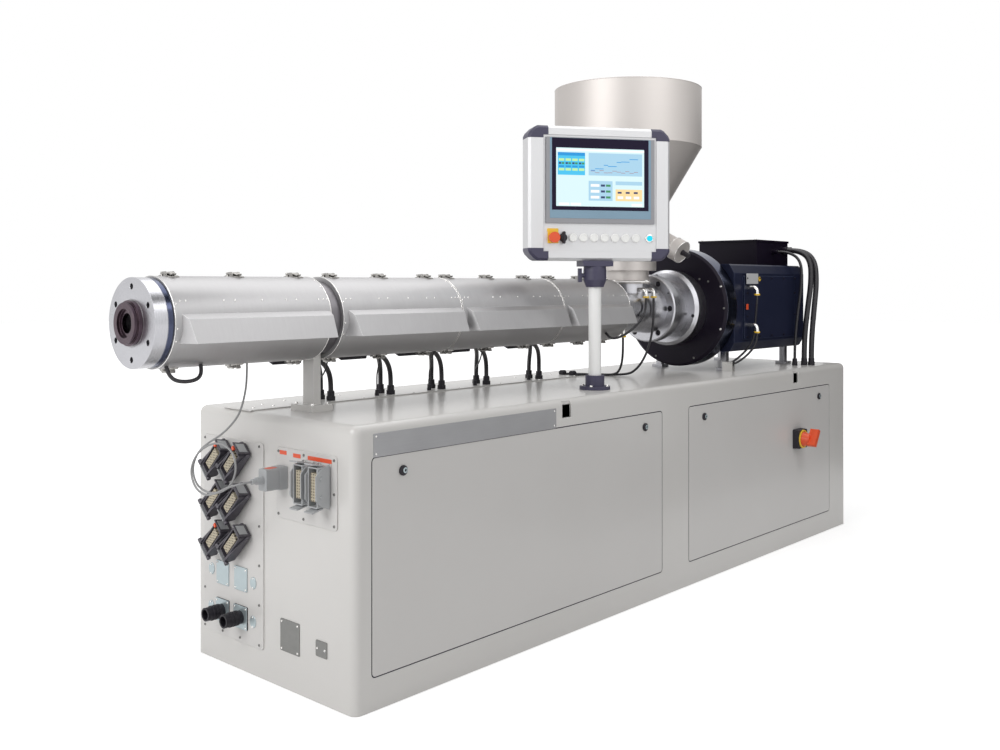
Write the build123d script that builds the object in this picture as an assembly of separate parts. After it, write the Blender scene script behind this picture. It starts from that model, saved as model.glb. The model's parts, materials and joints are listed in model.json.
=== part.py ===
from build123d import *

import os
from math import cos, pi, radians, sin, sqrt, tan

# Machine frame: a hollow welded box on the floor, +X towards the motor, fronts facing -Y
FRAME_LENGTH = 3200
FRAME_WIDTH = 800
FRAME_HEIGHT = 810
FRAME_WALL = 8
FRAME_ROUND = 25

# Lift-off covers, seated in stepped openings of the frame's long sides
COVER_BOTTOM = 96
COVER_TOP = FRAME_HEIGHT - 96
COVER_THICK = 4
COVER_GAP = 4
COVER_LIP = 16
COVER_ROUND = 12
LEFT_COVER_START = -FRAME_LENGTH / 2 + 64
LEFT_COVER_END = -67
RIGHT_COVER_START = 128
RIGHT_COVER_END = FRAME_LENGTH / 2 - 186
LOCK_RADIUS = 15
LOCK_HEAD = 5
LOCK_SHANK = 9
LOCK_INSET = 116
LOCK_DROP = 48
HOLE_PLAY = 0.3

# Cable cut-outs under the front top edge
CUTOUT_WIDTH = 50
CUTOUT_HEIGHT = 56
CUTOUT_TOP = FRAME_HEIGHT - 7
CUTOUT_CENTRES = (-657, 1059)

# Main switch on the right front cover
SWITCH_X = 1071
SWITCH_Z = 487
SWITCH_PLATE = 90
SWITCH_PLATE_THICK = 30
SWITCH_PLATE_TAPER = 5
SWITCH_COLLAR_RADIUS = 40
SWITCH_COLLAR_THICK = 4
SWITCH_SHAFT_RADIUS = 8
SWITCH_KNOB_RADIUS = 33
SWITCH_KNOB_FRONT_RADIUS = 24
SWITCH_KNOB_DEPTH = 34
SWITCH_GRIP_WIDTH = 22
SWITCH_GRIP_DEPTH = 40
SWITCH_GRIP_BELOW = 32
SWITCH_GRIP_ABOVE = 52
SWITCH_GRIP_LEAN = 32
SWITCH_PLAY = 0.4

# Left end face: power connector panel and signal plate
PANEL_THICK = 4
PANEL_ROUND = 12
POWER_PANEL_Y = (26, 354)
POWER_PANEL_Z = (89, FRAME_HEIGHT - 90)
PANEL_OVERLAP = 18
SOCKET_COLUMNS = (243, 143)
SOCKET_PITCH = 126
SOCKET_ROWS = [POWER_PANEL_Z[1] - 64 - i * SOCKET_PITCH for i in range(3)]
SOCKET_LENGTH = 108
SOCKET_WIDTH = 44
SOCKET_DEPTH = 56
SOCKET_RIM = 4
SOCKET_TILT = 45
SOCKET_BASE_DEPTH = 20
INSERT_INSET = 5
INSERT_RISE = 22
FLAP_THICK = 4
FLAP_LENGTH = 60
FLAP_LEAN = 12
LEVER_THICK = 5
LEVER_WIDTH = 13
LEVER_REACH = 70
KNOB_RADIUS = 7
BLANKING_WIDTH = 68
BLANKING_HEIGHT = 74
BLANKING_THICK = 3
BLANKING_Z = SOCKET_ROWS[-1] - 117
ROUND_SOCKET_Z = BLANKING_Z - 119
ROUND_SOCKET_PLATE = 72
ROUND_SOCKET_PLATE_THICK = 4
ROUND_SOCKET_RADIUS = 21
ROUND_SOCKET_DEPTH = 66
ROUND_SOCKET_WALL = 5
ROUND_SOCKET_RECESS = 26
ROUND_SOCKET_RIBS = 3
SIGNAL_PLATE_Y = (-327, -40)
SIGNAL_PLATE_TOP = FRAME_HEIGHT - 91
SIGNAL_PLATE_HEIGHT = 211
SIGNAL_PLATE_Z = (SIGNAL_PLATE_TOP - SIGNAL_PLATE_HEIGHT, SIGNAL_PLATE_TOP)
SIGNAL_SOCKET_Z = SIGNAL_PLATE_Z[1] - 87
SIGNAL_SOCKET_Y = (-207, -276)
SIGNAL_SOCKET_WIDTH = 44
SIGNAL_SOCKET_HEIGHT = 116
SIGNAL_SOCKET_DEPTH = 46
PLUG_Y = -76
PLUG_HEIGHT = 68
PLUG_BASE_DEPTH = 28
PLUG_HOOD_DEPTH = 46
PLUG_HOOD_INSET = 2
PLUG_GLAND_RADIUS = 11
PLUG_GLAND_LENGTH = 38
PLUG_CAP_RADIUS = 8
SMALL_SOCKET_Y = -140
SMALL_SOCKET_DROP = 38
SMALL_SOCKET_RADIUS = 11
SMALL_SOCKET_DEPTH = 18

# Deck fittings
STRIP_FRONT = 112
STRIP_WIDTH = 150
STRIP_THICK = 4
STRIP_X = (-FRAME_LENGTH / 2 + 10, 60)
GLAND_ROWS_Y = (148, 203)
GLAND_STATIONS = (-1247, -977, -722, -475, -154)
GLAND_RADIUS = 16
GLAND_HEIGHT = 32
SENSOR_GLAND_STEP = -65
SENSOR_GLAND_RADIUS = 8
SENSOR_GLAND_HEIGHT = 20

# Barrel line
AXIS_ABOVE_DECK = 290
AXIS_Z = FRAME_HEIGHT + AXIS_ABOVE_DECK
BARREL_RADIUS = 65
BORE_RADIUS = 37.5
BARREL_START = -2048
FLANGE_RADIUS = 125
FLANGE_THICK = 38
FLANGE_PITCH_RADIUS = 100
FLANGE_HOLE_RADIUS = 8.5
FLANGE_HOLES = 6
COLLAR_RADIUS = 108
SEAT_PLAY = 0.3
NOSE_REAR_RADIUS = 62.5
NOSE_REAR_LENGTH = 11
NOSE_FRONT_RADIUS = 57
NOSE_FRONT_LENGTH = 11
NOSE_MOUTH_RADIUS = 40
NOSE_MOUTH_DEPTH = 9
NOSE_BORE_RADIUS = 27.5

# Round zone guards over the heaters
GUARD_RADIUS = 129
GUARD_WALL = 3
GUARD_ENDS = ((-1992, -1463), (-1418, -892), (-890, -329), (-327, 110))
HOOD_TOP_Y = -112
HOOD_TOP_Z = AXIS_Z + 36
HOOD_FACE_TOP = (-146, AXIS_Z + 12)
HOOD_FACE_BOTTOM = (-170, AXIS_Z - 54)
HOOD_LEFT_INSET = 15
HOOD_RIGHT_INSET = 8
HOOD_LEFT_SLANT = 25
LATCH_STATIONS = ((-1939, -1727, -1514), (-1373, -1166, -958), (-851, -641, -431), (-280, -86, 66))
LATCH_LENGTH = 26
LATCH_SPAN = 34
LATCH_HEIGHT = 15
RING_RADIUS = 116

# Pedestal under the ring between the first two zones
PEDESTAL_X = (GUARD_ENDS[0][1] + GUARD_ENDS[1][0]) / 2
PEDESTAL_BASE_LENGTH = 82
PEDESTAL_BASE_WIDTH = 106
PEDESTAL_BASE_THICK = 20
PEDESTAL_POST_LENGTH = 27
PEDESTAL_POST_WIDTH = 54

# Feed section
FEED_THROAT_X = 274
FEED_NECK_RADIUS = 80
FEED_NECK_TOP = AXIS_Z + 110
FEED_FLAT = 68
FEED_BODY_RADIUS = 112
FEED_COLLAR_END = 132
FEED_BELL_RADIUS = 104
FEED_BELL_START = 340
FEED_BELL_END_RADIUS = 111
FEED_FLANGE_START = 415
FEED_FLANGE_RADIUS = 150
FEED_FLANGE_THICK = 48
FEED_FLANGE_BEVEL = 5
FEED_BOLT_PITCH_RADIUS = 124
FEED_BOLTS = 6
FEED_BOLT_RADIUS = 13
FEED_BOLT_DEPTH = 18
FEED_BOLT_HEAD = 10
THROAT_RADIUS = 42
DRIVE_RING_START = 565
DRIVE_RING_STEP = 612
DRIVE_RING_END = 648
DRIVE_RING_RADIUS = 172
DRIVE_RING_BEVEL = 14
DRIVE_RING_SHOULDER = 3
DRIVE_HUB_RADIUS = 132
DISC_RADIUS = 271
DISC_START = DRIVE_RING_END
DISC_END = 742
DISC_BEVEL = 10
NECK_ELBOW_X = (246, 306)
NECK_ELBOW_Z = AXIS_Z + 84
LOWER_ELBOW_X = 150
LOWER_ELBOW_Y = -62
LOWER_ELBOW_LENGTH = 34

# Motor
MOTOR_START = DISC_END
MOTOR_SEAM = 1332
MOTOR_END = 1432
MOTOR_HALF_WIDTH = 264
MOTOR_SIDE_HALF = 158
MOTOR_TOP_HALF = 236
MOTOR_SHOULDER_HALF = 194
MOTOR_HALF_HEIGHT = 200
TERMINAL_X = (1127, 1453)
TERMINAL_HALF_WIDTH = 160
TERMINAL_HEIGHT = 316
TERMINAL_TOP = AXIS_Z + TERMINAL_HEIGHT
TERMINAL_LID_THICK = 10
TERMINAL_LID_OVERHANG = 4
TERMINAL_GLANDS = ((1290, AXIS_Z + 268, 12), (1391, AXIS_Z + 278, 18), (1432, AXIS_Z + 278, 18))
TERMINAL_GLAND_LENGTH = 30
SIDE_COVER_X = (822, 1318)
SIDE_COVER_HALF = 146
SIDE_COVER_PROUD = 8
SIDE_COVER_ROUND = 6
MOTOR_FOOT_X = (796, 1372)
MOTOR_FOOT_Y = 176
MOTOR_FOOT_WIDTH = 28
MOTOR_FOOT_PAD = 56
MOTOR_FOOT_PAD_THICK = 12
ELBOW_Z = (AXIS_Z + 92, AXIS_Z - 80)
ELBOW_X = 851
ELBOW_RADIUS = 9
ELBOW_REACH = 48
ELBOW_BEND = 18
HOSE_NUT_RADIUS = 12
HOSE_NUT_LENGTH = 10
ELBOW_DROP = 26

# Hopper
HOPPER_X = 272
HOPPER_RADIUS = 318
HOPPER_WALL = 3
HOPPER_NECK_ABOVE_AXIS = 166
HOPPER_NECK_HEIGHT = 202
HOPPER_CONE_HEIGHT = 330
HOPPER_DRUM_HEIGHT = 254
HOPPER_NECK_RADIUS = 123
HOPPER_NECK_BOTTOM = AXIS_Z + HOPPER_NECK_ABOVE_AXIS
HOPPER_CONE_BOTTOM = HOPPER_NECK_BOTTOM + HOPPER_NECK_HEIGHT
HOPPER_CONE_TOP = HOPPER_CONE_BOTTOM + HOPPER_CONE_HEIGHT
HOPPER_TOP = HOPPER_CONE_TOP + HOPPER_DRUM_HEIGHT
NECK_COLLAR_RADIUS = 92
CLAMP_HEIGHT = 14
CLAMP_RADIUS = 97
CLAMP_BORE = 60
CLAMP_LUG = (30, 24, 18)
CLAMP_LUG_TURN = 150
SPOUT_RADIUS = 44
SPOUT_LENGTH = 268
SPOUT_SLOPE = 27
SPOUT_TURN = -90
SPOUT_START_Z = HOPPER_CONE_BOTTOM + 14
SPOUT_CAP_LENGTH = 44
SPOUT_CAP_OVERHANG = 4
SPOUT_KNOB_RADIUS = 10
SPOUT_KNOB_LENGTH = 30

# Operator panel on its pole
POLE_X = -311
POLE_Y = -260
POLE_RADIUS = 24
POLE_FLANGE_RADIUS = 58
POLE_FLANGE_THICK = 12
POLE_SOCKET_RADIUS = 36
POLE_SOCKET_HEIGHT = 53
POLE_BOTTOM = FRAME_HEIGHT + POLE_FLANGE_THICK
POLE_TOP = FRAME_HEIGHT + 460
COUPLING_TOP = FRAME_HEIGHT + 485
COUPLING_BOTTOM = COUPLING_TOP - 99
COUPLING_WAIST = COUPLING_TOP - 72
COUPLING_NECK_TOP = COUPLING_TOP - 37
COUPLING_PLATE_BOTTOM = COUPLING_TOP - 21
COUPLING_FOOT_RADIUS = 33
COUPLING_RADIUS = 43.5
COUPLING_PLATE = (118, 84)
COUPLING_PLAY = 0.35
LEVER_HUB_RADIUS = 8
LEVER_HUB_LENGTH = 16
LEVER_BAR = (12, 16, 52)
PANEL_TURN = -34.5
PANEL_CENTRE = 9
SCREEN_WIDTH = 427
SCREEN_HEIGHT = 319
PANEL_WIDTH = SCREEN_WIDTH + 132
PANEL_HEIGHT = SCREEN_HEIGHT + 182
PANEL_DEPTH = 84
PANEL_SIDE = 57
PANEL_RAIL = 34
PANEL_SHEET = 4
PANEL_RECESS = 3
PANEL_BEVEL = 10
CORNER_WIDTH = 76
CORNER_HEIGHT = 46
SCREEN_BOTTOM = COUPLING_TOP + 139
SCREEN_PROUD = 6
GLASS_MARGIN = (23, 24)
GLASS_BOTTOM_MARGIN = 49
GLASS_TOP_MARGIN = 4
GLASS_RECESS = 1
BUTTON_Z = COUPLING_TOP + 85
BUTTON_RADIUS = 14.5
BUTTON_PROUD = 9
BUTTON_COUNT = 7
BUTTON_STEP = 38
STOP_BUTTON = PANEL_CENTRE - SCREEN_WIDTH / 2 + 28.5
KEY_BUTTON = STOP_BUTTON + BUTTON_STEP
FIRST_BUTTON = KEY_BUTTON + BUTTON_STEP
LAMP_BUTTON = PANEL_CENTRE + SCREEN_WIDTH / 2 - 19.5
LAMP_STEP = 54
BUTTON_PITCH = (LAMP_BUTTON - LAMP_STEP - FIRST_BUTTON) / (BUTTON_COUNT - 1)
STOP_PLATE = 42
STOP_PLATE_THICK = 3
STOP_RADIUS = 20
STOP_STEM_RADIUS = 10
STOP_TRAVEL = 6
STOP_PROUD = 28

# Ducts on the guards' underside, from which the heater leads come
LEAD_STEP = 200
DUCT_LENGTH = 108
DUCT_THICK = 22
DUCT_ANGLES = (18, 43)
LEAD_ANGLES = (25, 36)

# Free cords: diameters, and how far each runs on before it bends
LEAD_DIAMETER = 11
LEAD_LOOP_X = (-1972, -1866)
LEAD_LOOP_ANGLE = -22
LEAD_LOOP_DEPTH = 48
SENSOR_DIAMETER = 6
SENSOR_START_X = -1680
SENSOR_LOOP = (
    (124, -30, 196),
    (138, 0, 156),
    (140, 52, 124),
    (140, 116, 96),
    (141, 172, 62),
    (142, 200, 10),
    (143, 176, -36),
    (144, 116, -52),
    (145, 52, -46),
    (146, -10, -20),
    (148, -50, 32),
    (151, -36, 86),
    (153, 18, 108),
    (155, 84, 98),
    (157, 146, 66),
    (159, 182, 14),
    (161, 160, -34),
    (163, 104, -56),
    (165, 42, -44),
    (165, -20, -18),
    (156, -62, -4),
)
SENSOR_WIRE_ANGLE = 14
SENSOR_WIRE_STARTS = (-1350, -1126, -875, -618, -343)
SENSOR_WIRE_REACH = (90, 70)
LEAD_REACH = (95, 75)
POWER_REACH = (200, 260)
HOSE_SIDESTEP = 22
HOSE_GUARD_X = -10
HOSE_GUARD_ANGLE = -44
HOSE_TURN_X = 215
HOSE_TURN_Y = 10
HOSE_TURN_DIRECTION = (-0.6, 0.8, 0)
HOSE_PORT_LENGTH = 24
HEATER_DIAMETER = 17
SMALLEST_TURN = 1.5
SENSOR_WIRE_DIAMETER = 5
POWER_DIAMETER = 26
SMALL_POWER_DIAMETER = 14
HOSE_DIAMETER = 10

# Deck glands of the motor's cables, and the block the motor's hoses end in
DECK_GLANDS = ((1280, -285, 13), (1334, -308, 16), (1352, -337, 16))
POWER_GLAND_HEIGHT = 34
POWER_GLAND_STEP = 1.5
MANIFOLD_X = MOTOR_FOOT_X[0] - MOTOR_FOOT_PAD / 2 - 1
MANIFOLD_Y = -MOTOR_FOOT_Y - MOTOR_FOOT_WIDTH / 2 - 28
MANIFOLD_Z = FRAME_HEIGHT + 32
MANIFOLD_SIZE = (22, 52, 44)

LOW = (Align.CENTER, Align.CENTER, Align.MIN)
FRONT_Y = -FRAME_WIDTH / 2
COVERS = ((LEFT_COVER_START, LEFT_COVER_END), (RIGHT_COVER_START, RIGHT_COVER_END))
BARREL_AXIS = Axis((0, 0, AXIS_Z), (1, 0, 0))


def block(x, y, z):
    """Box between two values on each axis."""
    centre = ((x[0] + x[1]) / 2, (y[0] + y[1]) / 2, (z[0] + z[1]) / 2)
    return Pos(*centre) * Box(x[1] - x[0], y[1] - y[0], z[1] - z[0])


def round_x(radius, start, end, y=0, z=AXIS_Z):
    """Cylinder along X."""
    return Pos(start, y, z) * Rot(0, 90, 0) * Cylinder(radius, end - start, align=LOW)


def round_y(radius, start, end, x, z):
    """Cylinder along Y."""
    return Pos(x, start, z) * Rot(-90, 0, 0) * Cylinder(radius, end - start, align=LOW)


def round_z(radius, start, end, x=0, y=0):
    """Cylinder along Z."""
    return Pos(x, y, start) * Cylinder(radius, end - start, align=LOW)


def turned(profile):
    """Solid turned about the barrel's axis from (x, radius) points."""
    face = make_face(Polyline(*[(x, AXIS_Z + r) for x, r in profile], close=True))
    return revolve(Plane.XZ * face, axis=BARREL_AXIS)


def plate_x(y, z, start, thick, corner):
    """Plate facing X with rounded corners, from start to start + thick."""
    face = RectangleRounded(y[1] - y[0], z[1] - z[0], corner)
    sketch = Plane((start, (y[0] + y[1]) / 2, (z[0] + z[1]) / 2), x_dir=(0, 1, 0), z_dir=(1, 0, 0)) * face
    return extrude(sketch, thick)


def plate_y(x, z, start, thick, corner):
    """Plate facing -Y with rounded corners, from start to start + thick."""
    face = RectangleRounded(x[1] - x[0], z[1] - z[0], corner)
    sketch = Plane(((x[0] + x[1]) / 2, start, (z[0] + z[1]) / 2), x_dir=(-1, 0, 0), z_dir=(0, 1, 0)) * face
    return extrude(sketch, thick)


def both_sides(solid):
    """The solid and its mirror image on the frame's rear side."""
    return [solid, mirror(solid, about=Plane.XZ)]


def cover_plate(span):
    """One lift-off cover, flush with the frame's front."""
    plate = plate_y(span, (COVER_BOTTOM, COVER_TOP), FRONT_Y, COVER_THICK, COVER_ROUND)
    for x in lock_places(span):
        plate -= round_y(LOCK_SHANK + HOLE_PLAY, FRONT_Y - 1, FRONT_Y + COVER_THICK + 1, x, COVER_TOP - LOCK_DROP)
    return plate


def lock_places(span):
    """X of a cover's two locks."""
    return (span[0] + LOCK_INSET, span[1] - LOCK_INSET)


def cover_opening(span):
    """Stepped opening that a cover seats in."""
    x = (span[0] - COVER_GAP, span[1] + COVER_GAP)
    z = (COVER_BOTTOM - COVER_GAP, COVER_TOP + COVER_GAP)
    step = plate_y(x, z, FRONT_Y - 1, COVER_THICK + 1, COVER_ROUND + COVER_GAP)
    inner_x = (span[0] + COVER_LIP, span[1] - COVER_LIP)
    inner_z = (COVER_BOTTOM + COVER_LIP, COVER_TOP - COVER_LIP)
    return step + plate_y(inner_x, inner_z, FRONT_Y - 1, FRAME_WALL + 2, COVER_ROUND)


def panel_opening(y, z):
    """Opening in the left end wall behind a screwed-on plate."""
    inner_y = (y[0] + PANEL_OVERLAP, y[1] - PANEL_OVERLAP)
    inner_z = (z[0] + PANEL_OVERLAP, z[1] - PANEL_OVERLAP)
    return plate_x(inner_y, inner_z, -FRAME_LENGTH / 2 - 1, FRAME_WALL + 2, PANEL_ROUND)


def frame_housing():
    outer = Box(FRAME_LENGTH, FRAME_WIDTH, FRAME_HEIGHT, align=LOW)
    upright = outer.edges().filter_by(Axis.Z)
    outer = fillet(upright, FRAME_ROUND)
    outer = fillet(outer.faces().sort_by(Axis.Z)[-1].edges(), FRAME_ROUND)
    hollow = Pos(0, 0, FRAME_WALL) * Box(
        FRAME_LENGTH - 2 * FRAME_WALL, FRAME_WIDTH - 2 * FRAME_WALL, FRAME_HEIGHT - 2 * FRAME_WALL, align=LOW
    )
    hollow = fillet(hollow.edges().filter_by(Axis.Z), FRAME_ROUND - FRAME_WALL)
    hollow = fillet(hollow.faces().sort_by(Axis.Z)[-1].edges(), FRAME_ROUND - FRAME_WALL)
    housing = outer - hollow
    for span in COVERS:
        for opening in both_sides(cover_opening(span)):
            housing -= opening
    housing -= panel_opening(POWER_PANEL_Y, POWER_PANEL_Z)
    housing -= panel_opening(SIGNAL_PLATE_Y, SIGNAL_PLATE_Z)
    for x in CUTOUT_CENTRES:
        housing -= block(
            (x - CUTOUT_WIDTH / 2, x + CUTOUT_WIDTH / 2),
            (FRONT_Y - 1, FRONT_Y + FRAME_WALL + 1),
            (CUTOUT_TOP - CUTOUT_HEIGHT, CUTOUT_TOP),
        )
    return housing


def cover_locks():
    locks = []
    for span in COVERS:
        for x in lock_places(span):
            head = round_y(LOCK_RADIUS, FRONT_Y - LOCK_HEAD, FRONT_Y, x, COVER_TOP - LOCK_DROP)
            shank = round_y(LOCK_SHANK, FRONT_Y, FRONT_Y + COVER_THICK + 14, x, COVER_TOP - LOCK_DROP)
            key = round_y(LOCK_SHANK / 2, FRONT_Y - LOCK_HEAD - 1, FRONT_Y - LOCK_HEAD + 3, x, COVER_TOP - LOCK_DROP)
            locks += both_sides(head + shank - key)
    return Compound(children=locks)


def switch_base():
    wall = Plane((SWITCH_X, FRONT_Y, SWITCH_Z), x_dir=(1, 0, 0), z_dir=(0, -1, 0))
    base = extrude(wall * RectangleRounded(SWITCH_PLATE, SWITCH_PLATE, 8), SWITCH_PLATE_THICK, taper=SWITCH_PLATE_TAPER)
    back = FRONT_Y - SWITCH_PLATE_THICK
    front = back - SWITCH_COLLAR_THICK
    collar = round_y(SWITCH_COLLAR_RADIUS, front, back, SWITCH_X, SWITCH_Z)
    return base + collar - round_y(SWITCH_SHAFT_RADIUS + SWITCH_PLAY, front - 1, FRONT_Y + 1, SWITCH_X, SWITCH_Z)


def switch_handle():
    """Tapered hub that carries a leaning grip."""
    rear = FRONT_Y - SWITCH_PLATE_THICK - SWITCH_COLLAR_THICK - SWITCH_PLAY
    front = rear - SWITCH_KNOB_DEPTH
    hub = Pos(SWITCH_X, rear, SWITCH_Z) * Rot(90, 0, 0) * Cone(
        SWITCH_KNOB_RADIUS, SWITCH_KNOB_FRONT_RADIUS, SWITCH_KNOB_DEPTH, align=LOW
    )
    shaft = round_y(SWITCH_SHAFT_RADIUS, rear, FRONT_Y - 1, SWITCH_X, SWITCH_Z)
    length = SWITCH_GRIP_BELOW + SWITCH_GRIP_ABOVE
    grip = Pos(0, 0, (SWITCH_GRIP_ABOVE - SWITCH_GRIP_BELOW) / 2) * Box(SWITCH_GRIP_WIDTH, SWITCH_GRIP_DEPTH, length)
    grip = fillet(grip.edges().filter_by(Axis.Y), SWITCH_GRIP_WIDTH / 4)
    place = Pos(SWITCH_X, front - SWITCH_GRIP_DEPTH / 4, SWITCH_Z) * Rot(0, SWITCH_GRIP_LEAN, 0)
    return hub + shaft + place * grip


def end_plate(y, z):
    """Plate screwed on the left end wall."""
    return plate_x(y, z, -FRAME_LENGTH / 2 - PANEL_THICK, PANEL_THICK, PANEL_ROUND)


def socket_places():
    """Places of the power connectors, turned on the panel, their X pointing inward."""
    face = -FRAME_LENGTH / 2 - PANEL_THICK
    return [Pos(face, y, z) * Rot(SOCKET_TILT, 0, 0) for y in SOCKET_COLUMNS for z in SOCKET_ROWS]


def open_housing(depth, width, length):
    """Connector housing, open towards -X, its back on the panel."""
    body = Pos(-depth / 2, 0, 0) * Box(depth, width, length)
    body = fillet(body.edges().filter_by(Axis.X), 5)
    recess_depth = depth - SOCKET_BASE_DEPTH
    recess = Box(recess_depth, width - 2 * SOCKET_RIM, length - 2 * SOCKET_RIM)
    return body - Pos(-depth + recess_depth / 2, 0, 0) * recess


def bulkhead_connectors():
    """Power connectors, each with a raised flap at one end and a lever over the mouth."""
    housing = open_housing(SOCKET_DEPTH, SOCKET_WIDTH, SOCKET_LENGTH)
    flap = Pos(-FLAP_LENGTH / 2, 0, FLAP_THICK / 2) * Box(FLAP_LENGTH, SOCKET_WIDTH, FLAP_THICK)
    flap = Pos(-4, 0, SOCKET_LENGTH / 2) * Rot(0, FLAP_LEAN, 0) * flap
    lever_end = Pos(-LEVER_REACH, 0, 0) * Box(LEVER_WIDTH, SOCKET_WIDTH + 2 * LEVER_THICK, LEVER_WIDTH)
    lever = lever_end + Pos(-LEVER_REACH, SOCKET_WIDTH / 2 + LEVER_THICK, 0) * Rot(-90, 0, 0) * Cylinder(
        KNOB_RADIUS, 2 * KNOB_RADIUS, align=LOW
    )
    for side in (-1, 1):
        arm = Box(LEVER_REACH, LEVER_THICK, LEVER_WIDTH)
        lever += Pos(-LEVER_REACH / 2, side * (SOCKET_WIDTH + LEVER_THICK) / 2, 0) * arm
    lever = Pos(-LEVER_WIDTH, 0, -SOCKET_LENGTH / 6) * Rot(0, -SOCKET_TILT, 0) * lever
    return Compound(children=[place * (housing + flap + lever) for place in socket_places()])


def connector_inserts():
    """Contact blocks standing in the open connectors."""
    blocks = []
    for place in socket_places():
        blocks.append(place * contact_block(SOCKET_WIDTH, SOCKET_LENGTH))
    for place in signal_places():
        blocks.append(place * contact_block(SIGNAL_SOCKET_WIDTH, SIGNAL_SOCKET_HEIGHT))
    return Compound(children=blocks)


def contact_block(width, length):
    inset = 2 * (SOCKET_RIM + INSERT_INSET)
    return Pos(-SOCKET_BASE_DEPTH - INSERT_RISE / 2, 0, 0) * Box(INSERT_RISE, width - inset, length - 2 * inset)


def flange_connectors():
    face = -FRAME_LENGTH / 2 - PANEL_THICK
    half = ROUND_SOCKET_PLATE / 2
    z = ROUND_SOCKET_Z
    front = face - ROUND_SOCKET_DEPTH
    sockets = []
    for y in SOCKET_COLUMNS:
        back = face - ROUND_SOCKET_PLATE_THICK
        socket = plate_x((y - half, y + half), (z - half, z + half), back, ROUND_SOCKET_PLATE_THICK, 3)
        socket += round_x(ROUND_SOCKET_RADIUS, front, back, y, z)
        for i in range(ROUND_SOCKET_RIBS):
            rib_end = back - 12 - i * 12
            socket += round_x(ROUND_SOCKET_RADIUS + 2, rib_end - 6, rib_end, y, z)
        hollow = round_x(ROUND_SOCKET_RADIUS - ROUND_SOCKET_WALL, front - 1, front + ROUND_SOCKET_RECESS, y, z)
        sockets.append(socket - hollow)
    return Compound(children=sockets)


def blanking_plates():
    face = -FRAME_LENGTH / 2 - PANEL_THICK
    plates = []
    for y in SOCKET_COLUMNS:
        span_y = (y - BLANKING_WIDTH / 2, y + BLANKING_WIDTH / 2)
        span_z = (BLANKING_Z - BLANKING_HEIGHT / 2, BLANKING_Z + BLANKING_HEIGHT / 2)
        plates.append(plate_x(span_y, span_z, face - BLANKING_THICK, BLANKING_THICK, 4))
    return Compound(children=plates)


def signal_places():
    """Places of the open signal connectors, their X pointing inward."""
    face = -FRAME_LENGTH / 2 - PANEL_THICK
    return [Pos(face, y, SIGNAL_SOCKET_Z) for y in SIGNAL_SOCKET_Y]


def signal_connectors():
    """Two open housings with raised end flaps, the plug's wall housing and a small round socket."""
    face = -FRAME_LENGTH / 2 - PANEL_THICK
    housing = open_housing(SIGNAL_SOCKET_DEPTH, SIGNAL_SOCKET_WIDTH, SIGNAL_SOCKET_HEIGHT)
    for side in (-1, 1):
        flap = Pos(-FLAP_LENGTH / 3, 0, side * FLAP_THICK / 2) * Box(FLAP_LENGTH / 1.5, SIGNAL_SOCKET_WIDTH - 8, FLAP_THICK)
        housing += Pos(-SIGNAL_SOCKET_DEPTH / 2, 0, side * SIGNAL_SOCKET_HEIGHT / 2) * Rot(0, side * FLAP_LEAN, 0) * flap
    sockets = [place * housing for place in signal_places()]
    half_width = SIGNAL_SOCKET_WIDTH / 2
    y = (PLUG_Y - half_width, PLUG_Y + half_width)
    z = (SIGNAL_SOCKET_Z - PLUG_HEIGHT / 2, SIGNAL_SOCKET_Z + PLUG_HEIGHT / 2)
    sockets.append(plate_x(y, z, face - PLUG_BASE_DEPTH, PLUG_BASE_DEPTH, 5))
    small_z = SIGNAL_SOCKET_Z - SMALL_SOCKET_DROP
    small = round_x(SMALL_SOCKET_RADIUS, face - SMALL_SOCKET_DEPTH, face, SMALL_SOCKET_Y, small_z)
    bore_end = face - SMALL_SOCKET_DEPTH / 2
    sockets.append(small - round_x(SMALL_SOCKET_RADIUS - 4, face - SMALL_SOCKET_DEPTH - 1, bore_end, SMALL_SOCKET_Y, small_z))
    return Compound(children=sockets)


def signal_plug():
    """Closed hood on its wall housing, with the cable gland at the outer end."""
    back = -FRAME_LENGTH / 2 - PANEL_THICK - PLUG_BASE_DEPTH
    front = back - PLUG_HOOD_DEPTH
    half_width = SIGNAL_SOCKET_WIDTH / 2 - PLUG_HOOD_INSET
    half_height = PLUG_HEIGHT / 2 - PLUG_HOOD_INSET
    y = (PLUG_Y - half_width, PLUG_Y + half_width)
    z = (SIGNAL_SOCKET_Z - half_height, SIGNAL_SOCKET_Z + half_height)
    hood = plate_x(y, z, front, PLUG_HOOD_DEPTH, 6)
    nut = round_x(PLUG_GLAND_RADIUS, front - PLUG_GLAND_LENGTH * 0.6, front, PLUG_Y, SIGNAL_SOCKET_Z)
    cap = round_x(PLUG_CAP_RADIUS, front - PLUG_GLAND_LENGTH, front, PLUG_Y, SIGNAL_SOCKET_Z)
    return hood + nut + cap


def gland_strip():
    y = (STRIP_FRONT, STRIP_FRONT + STRIP_WIDTH)
    return block(STRIP_X, y, (FRAME_HEIGHT, FRAME_HEIGHT + STRIP_THICK))


def gland(radius, height, x, y):
    """Cable gland: hexagon nut with a domed cap."""
    base = FRAME_HEIGHT + STRIP_THICK
    nut = Pos(x, y, base) * extrude(RegularPolygon(radius, 6), height * 0.45)
    return nut + round_z(radius * 0.78, base + height * 0.45, base + height, x, y)


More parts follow.
